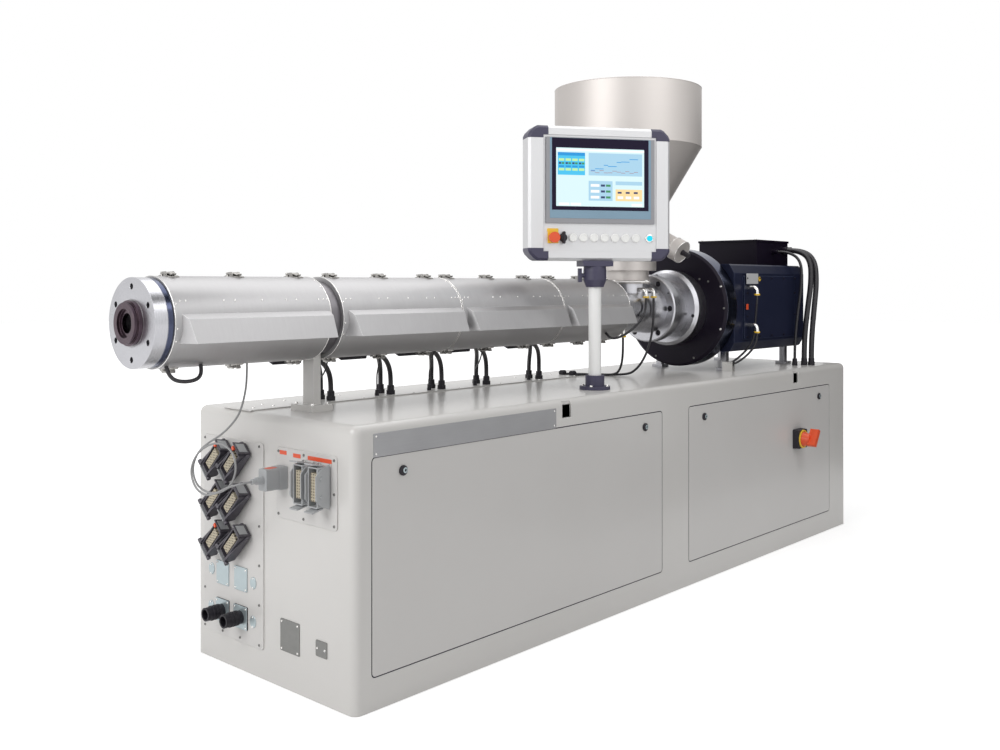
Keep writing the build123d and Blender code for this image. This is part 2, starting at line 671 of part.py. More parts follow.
def cable_glands():
    glands = []
    for x in GLAND_STATIONS:
        for y in GLAND_ROWS_Y:
            glands.append(gland(GLAND_RADIUS, GLAND_HEIGHT, x, y))
        glands.append(gland(SENSOR_GLAND_RADIUS, SENSOR_GLAND_HEIGHT, x + SENSOR_GLAND_STEP, GLAND_ROWS_Y[0]))
    for y in GLAND_ROWS_Y:
        port = round_x(HOSE_NUT_RADIUS, STRIP_X[1], STRIP_X[1] + HOSE_PORT_LENGTH, y, FRAME_HEIGHT + HOSE_NUT_RADIUS)
        glands.append(port & block((0, FRAME_LENGTH), (-FRAME_WIDTH, FRAME_WIDTH), (FRAME_HEIGHT, AXIS_Z)))
    return Compound(children=glands + deck_glands())


def barrel_tube():
    tube = round_x(BARREL_RADIUS, BARREL_START, FEED_FLANGE_START)
    tube -= round_x(BORE_RADIUS, BARREL_START - 1, FEED_FLANGE_START + 1)
    return tube - round_z(THROAT_RADIUS, AXIS_Z, AXIS_Z + BARREL_RADIUS + 1, FEED_THROAT_X)


def die_flange():
    end = BARREL_START + FLANGE_THICK
    flange = turned(
        [
            (BARREL_START, BARREL_RADIUS + SEAT_PLAY),
            (BARREL_START, FLANGE_RADIUS),
            (end, FLANGE_RADIUS),
            (end, COLLAR_RADIUS),
            (GUARD_ENDS[0][0] - SEAT_PLAY, COLLAR_RADIUS),
            (GUARD_ENDS[0][0] - SEAT_PLAY, BARREL_RADIUS + SEAT_PLAY),
        ]
    )
    for i in range(FLANGE_HOLES):
        angle = radians(90 + i * 360 / FLANGE_HOLES)
        y = FLANGE_PITCH_RADIUS * cos(angle)
        z = AXIS_Z + FLANGE_PITCH_RADIUS * sin(angle)
        flange -= round_x(FLANGE_HOLE_RADIUS, BARREL_START - 1, end - 1, y, z)
    return flange


def nose_ring():
    rear = BARREL_START
    step = rear - NOSE_REAR_LENGTH
    front = step - NOSE_FRONT_LENGTH
    return turned(
        [
            (rear, NOSE_BORE_RADIUS),
            (rear, NOSE_REAR_RADIUS),
            (step, NOSE_REAR_RADIUS),
            (step, NOSE_FRONT_RADIUS),
            (front, NOSE_FRONT_RADIUS),
            (front, NOSE_MOUTH_RADIUS),
            (front + NOSE_MOUTH_DEPTH, NOSE_MOUTH_RADIUS),
            (front + NOSE_MOUTH_DEPTH, NOSE_BORE_RADIUS),
        ]
    )


def extruder_screw():
    """Screw as a plain core with a tapered tip and a waist under the throat."""
    core = BORE_RADIUS - SEAT_PLAY
    waist = BORE_RADIUS * 0.6
    tip = BARREL_START + BORE_RADIUS
    profile = [
        (tip, 0),
        (tip + BORE_RADIUS, waist),
        (tip + 2 * BORE_RADIUS, core),
        (FEED_THROAT_X - THROAT_RADIUS - BORE_RADIUS, core),
        (FEED_THROAT_X - THROAT_RADIUS, waist),
        (FEED_THROAT_X + THROAT_RADIUS, waist),
        (FEED_THROAT_X + THROAT_RADIUS + BORE_RADIUS, core),
        (DISC_START, core),
        (DISC_START, 0),
    ]
    return turned(profile)


def zone_guard(span):
    """Drum round the barrel, with an annular plate at each end."""
    start, end = span
    inner = GUARD_RADIUS - GUARD_WALL
    hub = BARREL_RADIUS + SEAT_PLAY
    return turned(
        [
            (start, hub),
            (start, GUARD_RADIUS),
            (end, GUARD_RADIUS),
            (end, hub),
            (end - GUARD_WALL, hub),
            (end - GUARD_WALL, inner),
            (start + GUARD_WALL, inner),
            (start + GUARD_WALL, hub),
        ]
    )


def zone_hood(span):
    """Hood along the front of a guard: sloped top, leaning face, slanted left end."""
    start = span[0] + HOOD_LEFT_INSET
    end = span[1] - HOOD_RIGHT_INSET
    bottom_y = -sqrt(GUARD_RADIUS**2 - (AXIS_Z - HOOD_FACE_BOTTOM[1]) ** 2) + 12
    outline = [
        (HOOD_TOP_Y + 20, HOOD_TOP_Z),
        (HOOD_TOP_Y, HOOD_TOP_Z),
        HOOD_FACE_TOP,
        HOOD_FACE_BOTTOM,
        (bottom_y, HOOD_FACE_BOTTOM[1]),
    ]
    face = Plane((start, 0, 0), x_dir=(0, 1, 0), z_dir=(1, 0, 0)) * make_face(Polyline(*outline, close=True))
    hood = extrude(face, end - start)
    slant = Pos(start, HOOD_TOP_Y, HOOD_TOP_Z) * Rot(0, 0, HOOD_LEFT_SLANT) * Box(
        GUARD_RADIUS, 2 * GUARD_RADIUS, 2 * GUARD_RADIUS, align=(Align.MAX, Align.CENTER, Align.CENTER)
    )
    return hood - slant - round_x(GUARD_RADIUS, start - 1, end + 1)


def toggle_latch(x, side):
    """Latch across the guard's split, side 1 above and -1 below."""
    outline = [
        (-LATCH_SPAN, GUARD_RADIUS - 8),
        (-LATCH_SPAN, GUARD_RADIUS),
        (-LATCH_SPAN * 0.6, GUARD_RADIUS + LATCH_HEIGHT * 0.9),
        (LATCH_SPAN * 0.1, GUARD_RADIUS + LATCH_HEIGHT),
        (LATCH_SPAN * 0.8, GUARD_RADIUS + LATCH_HEIGHT * 0.55),
        (LATCH_SPAN, GUARD_RADIUS),
        (LATCH_SPAN, GUARD_RADIUS - 8),
    ]
    points = [(y, AXIS_Z + side * z) for y, z in outline]
    face = Plane((x - LATCH_LENGTH / 2, 0, 0), x_dir=(0, 1, 0), z_dir=(1, 0, 0)) * make_face(Polyline(*points, close=True))
    return extrude(face, LATCH_LENGTH) - round_x(GUARD_RADIUS, x - LATCH_LENGTH, x + LATCH_LENGTH)


def cover_latches():
    latches = []
    for row in LATCH_STATIONS:
        for x in row:
            latches += [toggle_latch(x, 1), toggle_latch(x, -1)]
    return Compound(children=latches)


def support_ring():
    start = GUARD_ENDS[0][1] + SEAT_PLAY
    end = GUARD_ENDS[1][0] - SEAT_PLAY
    return round_x(RING_RADIUS, start, end) - round_x(BARREL_RADIUS + SEAT_PLAY, start - 1, end + 1)


def barrel_pedestal():
    base = Pos(PEDESTAL_X, 0, FRAME_HEIGHT) * Box(
        PEDESTAL_BASE_LENGTH, PEDESTAL_BASE_WIDTH, PEDESTAL_BASE_THICK, align=LOW
    )
    post = Pos(PEDESTAL_X, 0, FRAME_HEIGHT) * Box(
        PEDESTAL_POST_LENGTH, PEDESTAL_POST_WIDTH, AXIS_Z - FRAME_HEIGHT - BARREL_RADIUS, align=LOW
    )
    return base + post - round_x(RING_RADIUS, PEDESTAL_X - PEDESTAL_BASE_LENGTH, PEDESTAL_X + PEDESTAL_BASE_LENGTH)


def feed_housing():
    """Turned feed body with a milled flat, from which the throat's neck rises."""
    start = GUARD_ENDS[3][1] + SEAT_PLAY
    body = turned(
        [
            (start, BARREL_RADIUS),
            (start, FEED_BODY_RADIUS),
            (FEED_COLLAR_END, FEED_BODY_RADIUS),
            (FEED_COLLAR_END, FEED_BELL_RADIUS),
            (FEED_BELL_START, FEED_BELL_RADIUS),
            (FEED_FLANGE_START, FEED_BELL_END_RADIUS),
            (FEED_FLANGE_START, BARREL_RADIUS),
        ]
    )
    reach = FEED_BODY_RADIUS + 1
    body -= block((FEED_COLLAR_END, FEED_FLANGE_START - 28), (-reach, reach), (AXIS_Z + FEED_FLAT, AXIS_Z + reach))
    neck = round_z(FEED_NECK_RADIUS, AXIS_Z, FEED_NECK_TOP, FEED_THROAT_X)
    throat = round_z(THROAT_RADIUS, AXIS_Z, FEED_NECK_TOP + 1, FEED_THROAT_X)
    return body + (neck - round_x(BARREL_RADIUS, start - 1, FEED_FLANGE_START)) - throat


def feed_adapter():
    """Bolted flange that widens to the drive, its screws sunk in the face."""
    start = FEED_FLANGE_START
    step = start + FEED_FLANGE_THICK
    adapter = turned(
        [
            (start, BORE_RADIUS + 1),
            (start, FEED_FLANGE_RADIUS - FEED_FLANGE_BEVEL),
            (start + FEED_FLANGE_BEVEL, FEED_FLANGE_RADIUS),
            (step, FEED_FLANGE_RADIUS),
            (step, DRIVE_HUB_RADIUS),
            (DRIVE_RING_START, DRIVE_HUB_RADIUS),
            (DRIVE_RING_START, BORE_RADIUS + 1),
        ]
    )
    for i in range(FEED_BOLTS):
        angle = radians(i * 360 / FEED_BOLTS)
        y = FEED_BOLT_PITCH_RADIUS * cos(angle)
        z = AXIS_Z + FEED_BOLT_PITCH_RADIUS * sin(angle)
        adapter -= round_x(FEED_BOLT_RADIUS, start - 1, start + FEED_BOLT_DEPTH, y, z)
        adapter += round_x(FEED_BOLT_HEAD, start + 4, start + FEED_BOLT_DEPTH, y, z)
    return adapter


def drive_ring():
    """Turned ring with a wide front bevel and a slightly smaller rear shoulder."""
    return turned(
        [
            (DRIVE_RING_START, BORE_RADIUS + 1),
            (DRIVE_RING_START, DRIVE_RING_RADIUS - DRIVE_RING_BEVEL),
            (DRIVE_RING_START + DRIVE_RING_BEVEL, DRIVE_RING_RADIUS),
            (DRIVE_RING_STEP, DRIVE_RING_RADIUS),
            (DRIVE_RING_STEP, DRIVE_RING_RADIUS - DRIVE_RING_SHOULDER),
            (DRIVE_RING_END, DRIVE_RING_RADIUS - DRIVE_RING_SHOULDER),
            (DRIVE_RING_END, BORE_RADIUS + 1),
        ]
    )


def drive_disc():
    return turned(
        [
            (DISC_START, 0),
            (DISC_START, DISC_RADIUS - DISC_BEVEL),
            (DISC_START + DISC_BEVEL, DISC_RADIUS),
            (DISC_END, DISC_RADIUS),
            (DISC_END, 0),
        ]
    )


def motor_section(start, end):
    """Length of the motor's housing, with bevelled edges all along."""
    side = MOTOR_HALF_WIDTH - SIDE_COVER_PROUD
    upper = [
        (side, MOTOR_SIDE_HALF),
        (MOTOR_TOP_HALF, MOTOR_SHOULDER_HALF),
        (MOTOR_TOP_HALF - 8, MOTOR_HALF_HEIGHT),
    ]
    right = upper[::-1] + [(y, -z) for y, z in upper]
    outline = right + [(-y, z) for y, z in reversed(right)]
    points = [(y, AXIS_Z + z) for y, z in outline]
    face = Plane((start, 0, 0), x_dir=(0, 1, 0), z_dir=(1, 0, 0)) * make_face(Polyline(*points, close=True))
    return extrude(face, end - start)


def motor_body():
    """Front length of the motor with a raised cover on each side."""
    z = (AXIS_Z - SIDE_COVER_HALF, AXIS_Z + SIDE_COVER_HALF)
    cover = plate_y(SIDE_COVER_X, z, -MOTOR_HALF_WIDTH, SIDE_COVER_PROUD, SIDE_COVER_ROUND)
    body = motor_section(MOTOR_START, MOTOR_SEAM)
    for side in both_sides(cover):
        body += side
    return body


def terminal_box():
    """Box on the motor with the cable glands on its front side."""
    base = AXIS_Z + MOTOR_HALF_HEIGHT
    box = block(TERMINAL_X, (-TERMINAL_HALF_WIDTH, TERMINAL_HALF_WIDTH), (base, TERMINAL_TOP))
    for x, z, radius in TERMINAL_GLANDS:
        front = -TERMINAL_HALF_WIDTH - TERMINAL_GLAND_LENGTH
        box += round_y(radius, front, -TERMINAL_HALF_WIDTH, x, z)
    return box


def terminal_lid():
    out = TERMINAL_LID_OVERHANG
    x = (TERMINAL_X[0] - out, TERMINAL_X[1] + out)
    y = (-TERMINAL_HALF_WIDTH - out, TERMINAL_HALF_WIDTH + out)
    return block(x, y, (TERMINAL_TOP, TERMINAL_TOP + TERMINAL_LID_THICK))


def motor_posts():
    posts = []
    top = AXIS_Z - MOTOR_HALF_HEIGHT
    for x in MOTOR_FOOT_X:
        for y in (-MOTOR_FOOT_Y, MOTOR_FOOT_Y):
            pad = Pos(x, y, FRAME_HEIGHT) * Box(MOTOR_FOOT_PAD, MOTOR_FOOT_PAD, MOTOR_FOOT_PAD_THICK, align=LOW)
            half = MOTOR_FOOT_WIDTH / 2
            posts.append(pad + block((x - half, x + half), (y - half, y + half), (FRAME_HEIGHT, top)))
    return Compound(children=posts)


def hose_manifold():
    """Block on the deck beside the front post, where the motor's hoses end."""
    return Pos(MANIFOLD_X - MANIFOLD_SIZE[0] / 2, MANIFOLD_Y, FRAME_HEIGHT) * Box(*MANIFOLD_SIZE, align=LOW)


def elbow(x, y, z):
    """Bent fitting that leaves a surface along -Y and turns down to a hose nut."""
    path = FilletPolyline(
        (x, y, z), (x, y - ELBOW_REACH, z), (x, y - ELBOW_REACH, z - ELBOW_DROP), radius=ELBOW_BEND
    )
    bend = sweep(Plane(origin=path @ 0, z_dir=path % 0) * Circle(ELBOW_RADIUS), path=path)
    nut_top = z - ELBOW_DROP
    return bend + round_z(HOSE_NUT_RADIUS, nut_top - HOSE_NUT_LENGTH, nut_top, x, y - ELBOW_REACH)


def water_elbows():
    """Elbows on the motor's side and on the feed neck, and a straight fitting under the feed body."""
    elbows = [elbow(ELBOW_X, -MOTOR_HALF_WIDTH, z) for z in ELBOW_Z]
    barrel_side = [elbow(x, neck_front(x), NECK_ELBOW_Z) - round_z(FEED_NECK_RADIUS, AXIS_Z, FEED_NECK_TOP, FEED_THROAT_X)
                   for x in NECK_ELBOW_X]
    low_end = lower_fitting_bottom()
    nut_top = low_end + HOSE_NUT_LENGTH
    low = round_z(ELBOW_RADIUS, nut_top, nut_top + LOWER_ELBOW_LENGTH, LOWER_ELBOW_X, LOWER_ELBOW_Y)
    low += round_z(HOSE_NUT_RADIUS, low_end, nut_top, LOWER_ELBOW_X, LOWER_ELBOW_Y)
    low -= round_x(FEED_BELL_RADIUS, FEED_COLLAR_END, FEED_BELL_START)
    return Compound(children=elbows + barrel_side + [low, hose_manifold()])


def neck_front(x):
    """Y a little inside the neck's front surface at a given X."""
    return -sqrt(FEED_NECK_RADIUS**2 - (x - FEED_THROAT_X) ** 2) + ELBOW_RADIUS


def hopper_shell(outer):
    """Thin turned shell about the hopper's axis from outer (radius, z) points."""
    inner = [(r - HOPPER_WALL, z) for r, z in reversed(outer)]
    face = Plane.XZ * make_face(Polyline(*outer, *inner, close=True))
    return Pos(HOPPER_X, 0, 0) * revolve(face, axis=Axis.Z)


def hopper_drum():
    return hopper_shell([(HOPPER_RADIUS, HOPPER_CONE_TOP), (HOPPER_RADIUS, HOPPER_TOP)])


def hopper_cone():
    return hopper_shell([(HOPPER_NECK_RADIUS, HOPPER_CONE_BOTTOM), (HOPPER_RADIUS, HOPPER_CONE_TOP)])


def hopper_neck():
    """Neck with a floor ring and a narrower collar that stands in the clamp."""
    bottom = FEED_NECK_TOP + CLAMP_HEIGHT
    floor = HOPPER_NECK_BOTTOM
    neck = hopper_shell([(HOPPER_NECK_RADIUS, floor), (HOPPER_NECK_RADIUS, HOPPER_CONE_BOTTOM)])
    collar = hopper_shell([(NECK_COLLAR_RADIUS, bottom), (NECK_COLLAR_RADIUS, floor + HOPPER_WALL)])
    ring = round_z(HOPPER_NECK_RADIUS, floor, floor + HOPPER_WALL, HOPPER_X)
    ring -= round_z(NECK_COLLAR_RADIUS - HOPPER_WALL, floor - 1, floor + HOPPER_WALL + 1, HOPPER_X)
    return neck + collar + ring


def neck_clamp():
    """Clamp ring between the hopper's collar and the feed neck, with its closing lug."""
    bottom = FEED_NECK_TOP
    top = bottom + CLAMP_HEIGHT
    lug = Rot(0, 0, CLAMP_LUG_TURN) * Pos(CLAMP_RADIUS, 0, 0) * Box(*CLAMP_LUG)
    ring = round_z(CLAMP_RADIUS, bottom, top, HOPPER_X) + Pos(HOPPER_X, 0, (bottom + top) / 2) * lug
    throat = round_z(CLAMP_BORE, bottom - 1, top + 1, HOPPER_X)
    clear_below = round_z(FEED_NECK_RADIUS + 1, bottom - CLAMP_LUG[2], bottom, HOPPER_X)
    clear_above = round_z(NECK_COLLAR_RADIUS + 1, top, top + CLAMP_LUG[2], HOPPER_X)
    return ring - throat - clear_below - clear_above


def spout_place():
    """Start of the drain spout on the cone, its Z pointing down the spout."""
    return Pos(HOPPER_X, 0, SPOUT_START_Z) * Rot(0, 0, SPOUT_TURN) * Rot(0, 90 + SPOUT_SLOPE, 0)


def drain_spout():
    spout = spout_place() * Cylinder(SPOUT_RADIUS, SPOUT_LENGTH, align=LOW)
    shell = [
        (0, HOPPER_NECK_BOTTOM),
        (HOPPER_NECK_RADIUS, HOPPER_NECK_BOTTOM),
        (HOPPER_NECK_RADIUS, HOPPER_CONE_BOTTOM),
        (HOPPER_RADIUS, HOPPER_CONE_TOP),
        (0, HOPPER_CONE_TOP),
    ]
    solid = Pos(HOPPER_X, 0, 0) * revolve(Plane.XZ * make_face(Polyline(*shell, close=True)), axis=Axis.Z)
    return spout - solid


def spout_cap():
    cap = Pos(0, 0, SPOUT_LENGTH) * Cylinder(SPOUT_RADIUS + SPOUT_CAP_OVERHANG, SPOUT_CAP_LENGTH, align=LOW)
    knob = Pos(0, 0, SPOUT_LENGTH + SPOUT_CAP_LENGTH) * Cylinder(SPOUT_KNOB_RADIUS, SPOUT_KNOB_LENGTH, align=LOW)
    return spout_place() * (cap + knob)


def pole_foot():
    """Round foot with the socket that the pole stands in."""
    base = round_z(POLE_FLANGE_RADIUS, FRAME_HEIGHT, POLE_BOTTOM, POLE_X, POLE_Y)
    socket = round_z(POLE_SOCKET_RADIUS, FRAME_HEIGHT, FRAME_HEIGHT + POLE_SOCKET_HEIGHT, POLE_X, POLE_Y)
    return base + socket - round_z(POLE_RADIUS + SEAT_PLAY, POLE_BOTTOM, POLE_TOP, POLE_X, POLE_Y)


def panel_pole():
    return round_z(POLE_RADIUS, POLE_BOTTOM, POLE_TOP, POLE_X, POLE_Y)


def panel_coupling():
    """Swivel head: turned body, flared to a plate, with a clamping lever at its side."""
    outline = [
        (0, COUPLING_BOTTOM),
        (COUPLING_FOOT_RADIUS, COUPLING_BOTTOM),
        (COUPLING_RADIUS, COUPLING_WAIST),
        (COUPLING_RADIUS, COUPLING_NECK_TOP),
        (COUPLING_PLATE[1] / 2, COUPLING_PLATE_BOTTOM),
        (0, COUPLING_PLATE_BOTTOM),
    ]
    body = revolve(Plane.XZ * make_face(Polyline(*outline, close=True)), axis=Axis.Z)
    plate_rise = COUPLING_TOP - COUPLING_PLATE_BOTTOM
    head = Pos(0, 0, COUPLING_PLATE_BOTTOM) * Box(*COUPLING_PLATE, plate_rise, align=LOW)
    lever_z = (COUPLING_WAIST + COUPLING_NECK_TOP) / 2
    hub = Pos(-COUPLING_RADIUS - LEVER_HUB_LENGTH, 0, lever_z) * Rot(0, 90, 0) * Cylinder(
        LEVER_HUB_RADIUS, LEVER_HUB_LENGTH + LEVER_HUB_RADIUS, align=LOW
    )
    bar = Pos(-COUPLING_RADIUS - LEVER_HUB_LENGTH, 0, lever_z) * Box(*LEVER_BAR)
    bore = round_z(POLE_RADIUS + COUPLING_PLAY, COUPLING_BOTTOM - 1, POLE_TOP + COUPLING_PLAY)
    return on_panel(body + head + hub + bar - bore)


def on_panel(shape):
    """Carry a shape drawn facing -Y about the pole's axis to the panel's turned place."""
    return Pos(POLE_X, POLE_Y, 0) * Rot(0, 0, PANEL_TURN) * shape


def panel_outline(x_edge, z_edge):
    """Upright rectangle inside the enclosure's outline, inset by an edge each way."""
    x = (PANEL_CENTRE - PANEL_WIDTH / 2 + x_edge, PANEL_CENTRE + PANEL_WIDTH / 2 - x_edge)
    z = (COUPLING_TOP + z_edge, COUPLING_TOP + PANEL_HEIGHT - z_edge)
    return x, z


def panel_ring():
    """The enclosure's border, bevelled along its front edges."""
    half = PANEL_DEPTH / 2
    x, z = panel_outline(0, 0)
    ring = chamfer(block(x, (-half, half), z).faces().sort_by(Axis.Y)[0].edges(), PANEL_BEVEL)
    inner_x, inner_z = panel_outline(PANEL_SIDE, PANEL_RAIL)
    return ring - block(inner_x, (-half - 1, half + 1), inner_z)


def corner_zones():
    """Boxes that the four corner pieces fill of the border."""
    x, z = panel_outline(0, 0)
    reach = PANEL_DEPTH
    zones = []
    for x_span in ((x[0] - 1, x[0] + CORNER_WIDTH), (x[1] - CORNER_WIDTH, x[1] + 1)):
        for z_span in ((z[0] - 1, z[0] + CORNER_HEIGHT), (z[1] - CORNER_HEIGHT, z[1] + 1)):
            zones.append(block(x_span, (-reach, reach), z_span))
    return zones


def panel_frame():
    frame = panel_ring()
    for zone in corner_zones():
        frame -= zone
    return on_panel(frame)


def panel_corners():
    ring = panel_ring()
    return Compound(children=[on_panel(ring & zone) for zone in corner_zones()])


def panel_sheets():
    """Front and rear sheets inside the border."""
    x, z = panel_outline(PANEL_SIDE, PANEL_RAIL)
    depth = PANEL_DEPTH / 2 - PANEL_RECESS
    front = block(x, (-depth, -depth + PANEL_SHEET), z)
    front -= round_y(STOP_STEM_RADIUS + HOLE_PLAY, -depth - 1, -depth + PANEL_SHEET + 1, STOP_BUTTON, BUTTON_Z)
    rear = block(x, (depth - PANEL_SHEET, depth), z)
    return Compound(children=[on_panel(front), on_panel(rear)])


def touch_screen():
    """Bezel with the glass set slightly back."""
    face = -PANEL_DEPTH / 2 + PANEL_RECESS
    x = (PANEL_CENTRE - SCREEN_WIDTH / 2, PANEL_CENTRE + SCREEN_WIDTH / 2)
    z = (SCREEN_BOTTOM, SCREEN_BOTTOM + SCREEN_HEIGHT)
    glass_x = (x[0] + GLASS_MARGIN[0], x[1] - GLASS_MARGIN[1])
    glass_z = (z[0] + GLASS_BOTTOM_MARGIN, z[1] - GLASS_TOP_MARGIN)
    bezel = block(x, (face - SCREEN_PROUD, face), z)
    return on_panel(bezel - block(glass_x, (face - SCREEN_PROUD - 1, face - SCREEN_PROUD + GLASS_RECESS), glass_z))


def panel_buttons():
    face = -PANEL_DEPTH / 2 + PANEL_RECESS
    places = [FIRST_BUTTON + i * BUTTON_PITCH for i in range(BUTTON_COUNT)]
    buttons = []
    for x in [KEY_BUTTON] + places + [LAMP_BUTTON]:
        buttons.append(on_panel(round_y(BUTTON_RADIUS, face - BUTTON_PROUD, face, x, BUTTON_Z)))
    plate = block(
        (STOP_BUTTON - STOP_PLATE / 2, STOP_BUTTON + STOP_PLATE / 2),
        (face - STOP_PLATE_THICK, face),
        (BUTTON_Z - STOP_PLATE / 2, BUTTON_Z + STOP_PLATE / 2),
    )
    plate -= round_y(STOP_STEM_RADIUS + HOLE_PLAY, face - STOP_PLATE_THICK - 1, face + 1, STOP_BUTTON, BUTTON_Z)
    return Compound(children=buttons + [on_panel(plate)])


def stop_button():
    face = -PANEL_DEPTH / 2 + PANEL_RECESS
    head_rear = face - STOP_PLATE_THICK - STOP_TRAVEL - 1
    head = round_y(STOP_RADIUS, face - STOP_PROUD, head_rear, STOP_BUTTON, BUTTON_Z)
    stem = round_y(STOP_STEM_RADIUS, head_rear, face + PANEL_SHEET + 10, STOP_BUTTON, BUTTON_Z)
    return on_panel(head + stem)


def without_straight(points):
    """The points at which a route turns, with its two ends."""
    kept = points[:1]
    for here, after in zip(points[1:], points[2:]):
        run_in = Vector(*here) - Vector(*kept[-1])
        if run_in.get_angle(Vector(*after) - Vector(*here)) > SMALLEST_TURN:
            kept.append(here)
    return kept + points[-1:]


def cord_tube(name, points, diameter):
    """Tube along straight runs joined by arcs as large as the runs allow."""
    points = without_straight(points)
    radii = []
    for before, here, after in zip(points, points[1:], points[2:]):
        run_in = Vector(*here) - Vector(*before)
        run_out = Vector(*after) - Vector(*here)
        shorter = min(run_in.length, run_out.length)
        radii.append(0.45 * shorter / tan(radians(run_in.get_angle(run_out)) / 2))
    path = FilletPolyline(*points, radius=radii)
    tube = sweep(Plane(origin=path @ 0, z_dir=path % 0) * Circle(diameter / 2), path=path)
    print(name, "radii", [round(r, 1) for r in radii], "length", round(path.length, 1))
    print("  volume", round(tube.volume), "section x length", round(path.length * pi * diameter**2 / 4))
    return tube


def drape(start, out, end, into, reach, steps=5):
    """Points of a cord that leaves start along out and arrives at end along into."""
    first = Vector(*start) + Vector(*out) * (reach[0] * 0.3)
    last = Vector(*end) - Vector(*into) * (reach[1] * 0.3)
    first_pull = Vector(*start) + Vector(*out) * reach[0]
    last_pull = Vector(*end) - Vector(*into) * reach[1]
    points = [Vector(*start)]
    for i in range(steps + 1):
        t = i / steps
        near = first * (1 - t) ** 3 + first_pull * (3 * (1 - t) ** 2 * t)
        points.append(near + last_pull * (3 * (1 - t) * t**2) + last * t**3)
    return [tuple(point) for point in points + [Vector(*end)]]


def joined(first, second):
    """Two draped lengths as one, meeting in the point they share."""
    return first[:-2] + second[:1] + second[2:]


def barrel_lead():
    """Short loop that hangs under the first guard, both ends at the guard."""
    start = guard_point(LEAD_LOOP_X[0], LEAD_LOOP_ANGLE)
    end = guard_point(LEAD_LOOP_X[1], LEAD_LOOP_ANGLE)
    low = guard_point(sum(LEAD_LOOP_X) / 2, LEAD_LOOP_ANGLE, LEAD_LOOP_DEPTH)
    down = (0, sin(radians(LEAD_LOOP_ANGLE)), -cos(radians(LEAD_LOOP_ANGLE)))
    reach = (LEAD_LOOP_DEPTH * 0.7, LEAD_LOOP_DEPTH * 0.7)
    there = drape(start, down, low, (1, 0, 0), reach, 3)
    back = drape(low, (1, 0, 0), end, tuple(-Vector(*down)), reach, 3)
    return cord_tube("barrel_lead", joined(there, back), LEAD_DIAMETER)


def sensor_cable():
    """Cable from the first guard down to a loop and a half, then into the plug."""
    low = AXIS_Z - GUARD_RADIUS
    end = -FRAME_LENGTH / 2 - PANEL_THICK - PLUG_BASE_DEPTH - PLUG_HOOD_DEPTH - PLUG_GLAND_LENGTH
    mid = SIGNAL_SOCKET_Z
    points = [(SENSOR_START_X, 0, low), (SENSOR_START_X, 0, low - 34), (SENSOR_START_X - 18, -20, low - 82)]
    points += [(-FRAME_LENGTH / 2 - out, y, mid + above) for out, y, above in SENSOR_LOOP]
    points += [(end - 16, PLUG_Y, mid), (end, PLUG_Y, mid)]
    return cord_tube("sensor_cable", points, SENSOR_DIAMETER)


def guard_point(x, angle, out=0):
    """Point on a guard's underside, by the angle from straight down towards the rear."""
    radius = GUARD_RADIUS + out
    return (x, radius * sin(radians(angle)), AXIS_Z - radius * cos(radians(angle)))


def lead_ducts():
    """Dark ducts along the guards' underside, from whose ends the heater leads come."""
    ducts = []
    for x in GLAND_STATIONS:
        start = x - LEAD_STEP - DUCT_LENGTH
        ring = round_x(GUARD_RADIUS + DUCT_THICK, start, x - LEAD_STEP) - round_x(GUARD_RADIUS, start - 1, x)
        low, high = [radians(angle) for angle in DUCT_ANGLES]
        reach = 2 * GUARD_RADIUS
        wedge = [(0, 0), (reach * sin(low), -reach * cos(low)), (reach * sin(high), -reach * cos(high))]
        face = make_face(Polyline(*[(y, AXIS_Z + z) for y, z in wedge], close=True))
        sector = extrude(Plane((start, 0, 0), x_dir=(0, 1, 0), z_dir=(1, 0, 0)) * face, x - LEAD_STEP - start)
        ducts.append(ring & sector)
    return Compound(children=ducts)


def zone_leads():
    """At each station two thick leads from the duct's end and a thin wire from the guard, all into the glands."""
    down = (0, 0, -1)
    deck = FRAME_HEIGHT + STRIP_THICK
    angle = radians(SENSOR_WIRE_ANGLE)
    leads = []
    for x, wire_x in zip(GLAND_STATIONS, SENSOR_WIRE_STARTS):
        for y, lead_angle in zip(GLAND_ROWS_Y, LEAD_ANGLES):
            start = guard_point(x - LEAD_STEP, lead_angle, DUCT_THICK / 2)
            points = drape(start, (1, 0, 0), (x, y, deck + GLAND_HEIGHT), down, LEAD_REACH)
            leads.append(cord_tube("heater_lead", points, HEATER_DIAMETER))
        start = guard_point(wire_x, SENSOR_WIRE_ANGLE)
        end = (x + SENSOR_GLAND_STEP, GLAND_ROWS_Y[0], deck + SENSOR_GLAND_HEIGHT)
        points = drape(start, (0, sin(angle), -cos(angle)), end, down, SENSOR_WIRE_REACH, 4)
        leads.append(cord_tube("sensor_wire", points, SENSOR_WIRE_DIAMETER))
    return Compound(children=leads)


def power_cables():
    """A thin and two thick cables, from the terminal box over to the deck glands."""
    front = -TERMINAL_HALF_WIDTH - TERMINAL_GLAND_LENGTH
    top = FRAME_HEIGHT + POWER_GLAND_HEIGHT
    diameters = (SMALL_POWER_DIAMETER, POWER_DIAMETER, POWER_DIAMETER)
    cables = []
    for (x, z, _), (end_x, end_y, _), diameter in zip(TERMINAL_GLANDS, DECK_GLANDS, diameters):
        points = drape((x, front, z), (0, -1, 0), (end_x, end_y, top), (0, 0, -1), POWER_REACH, 4)
        cables.append(cord_tube("power_cable", points, diameter))
    return Compound(children=cables)


def deck_glands():
    """Glands on the open deck for the motor's cables."""
    glands = []
    for x, y, radius in DECK_GLANDS:
        nut = Pos(x, y, FRAME_HEIGHT) * extrude(RegularPolygon(radius, 6), POWER_GLAND_HEIGHT * 0.5)
        top = FRAME_HEIGHT + POWER_GLAND_HEIGHT
        glands.append(nut + round_z(radius - POWER_GLAND_STEP, FRAME_HEIGHT, top, x, y))
    return glands


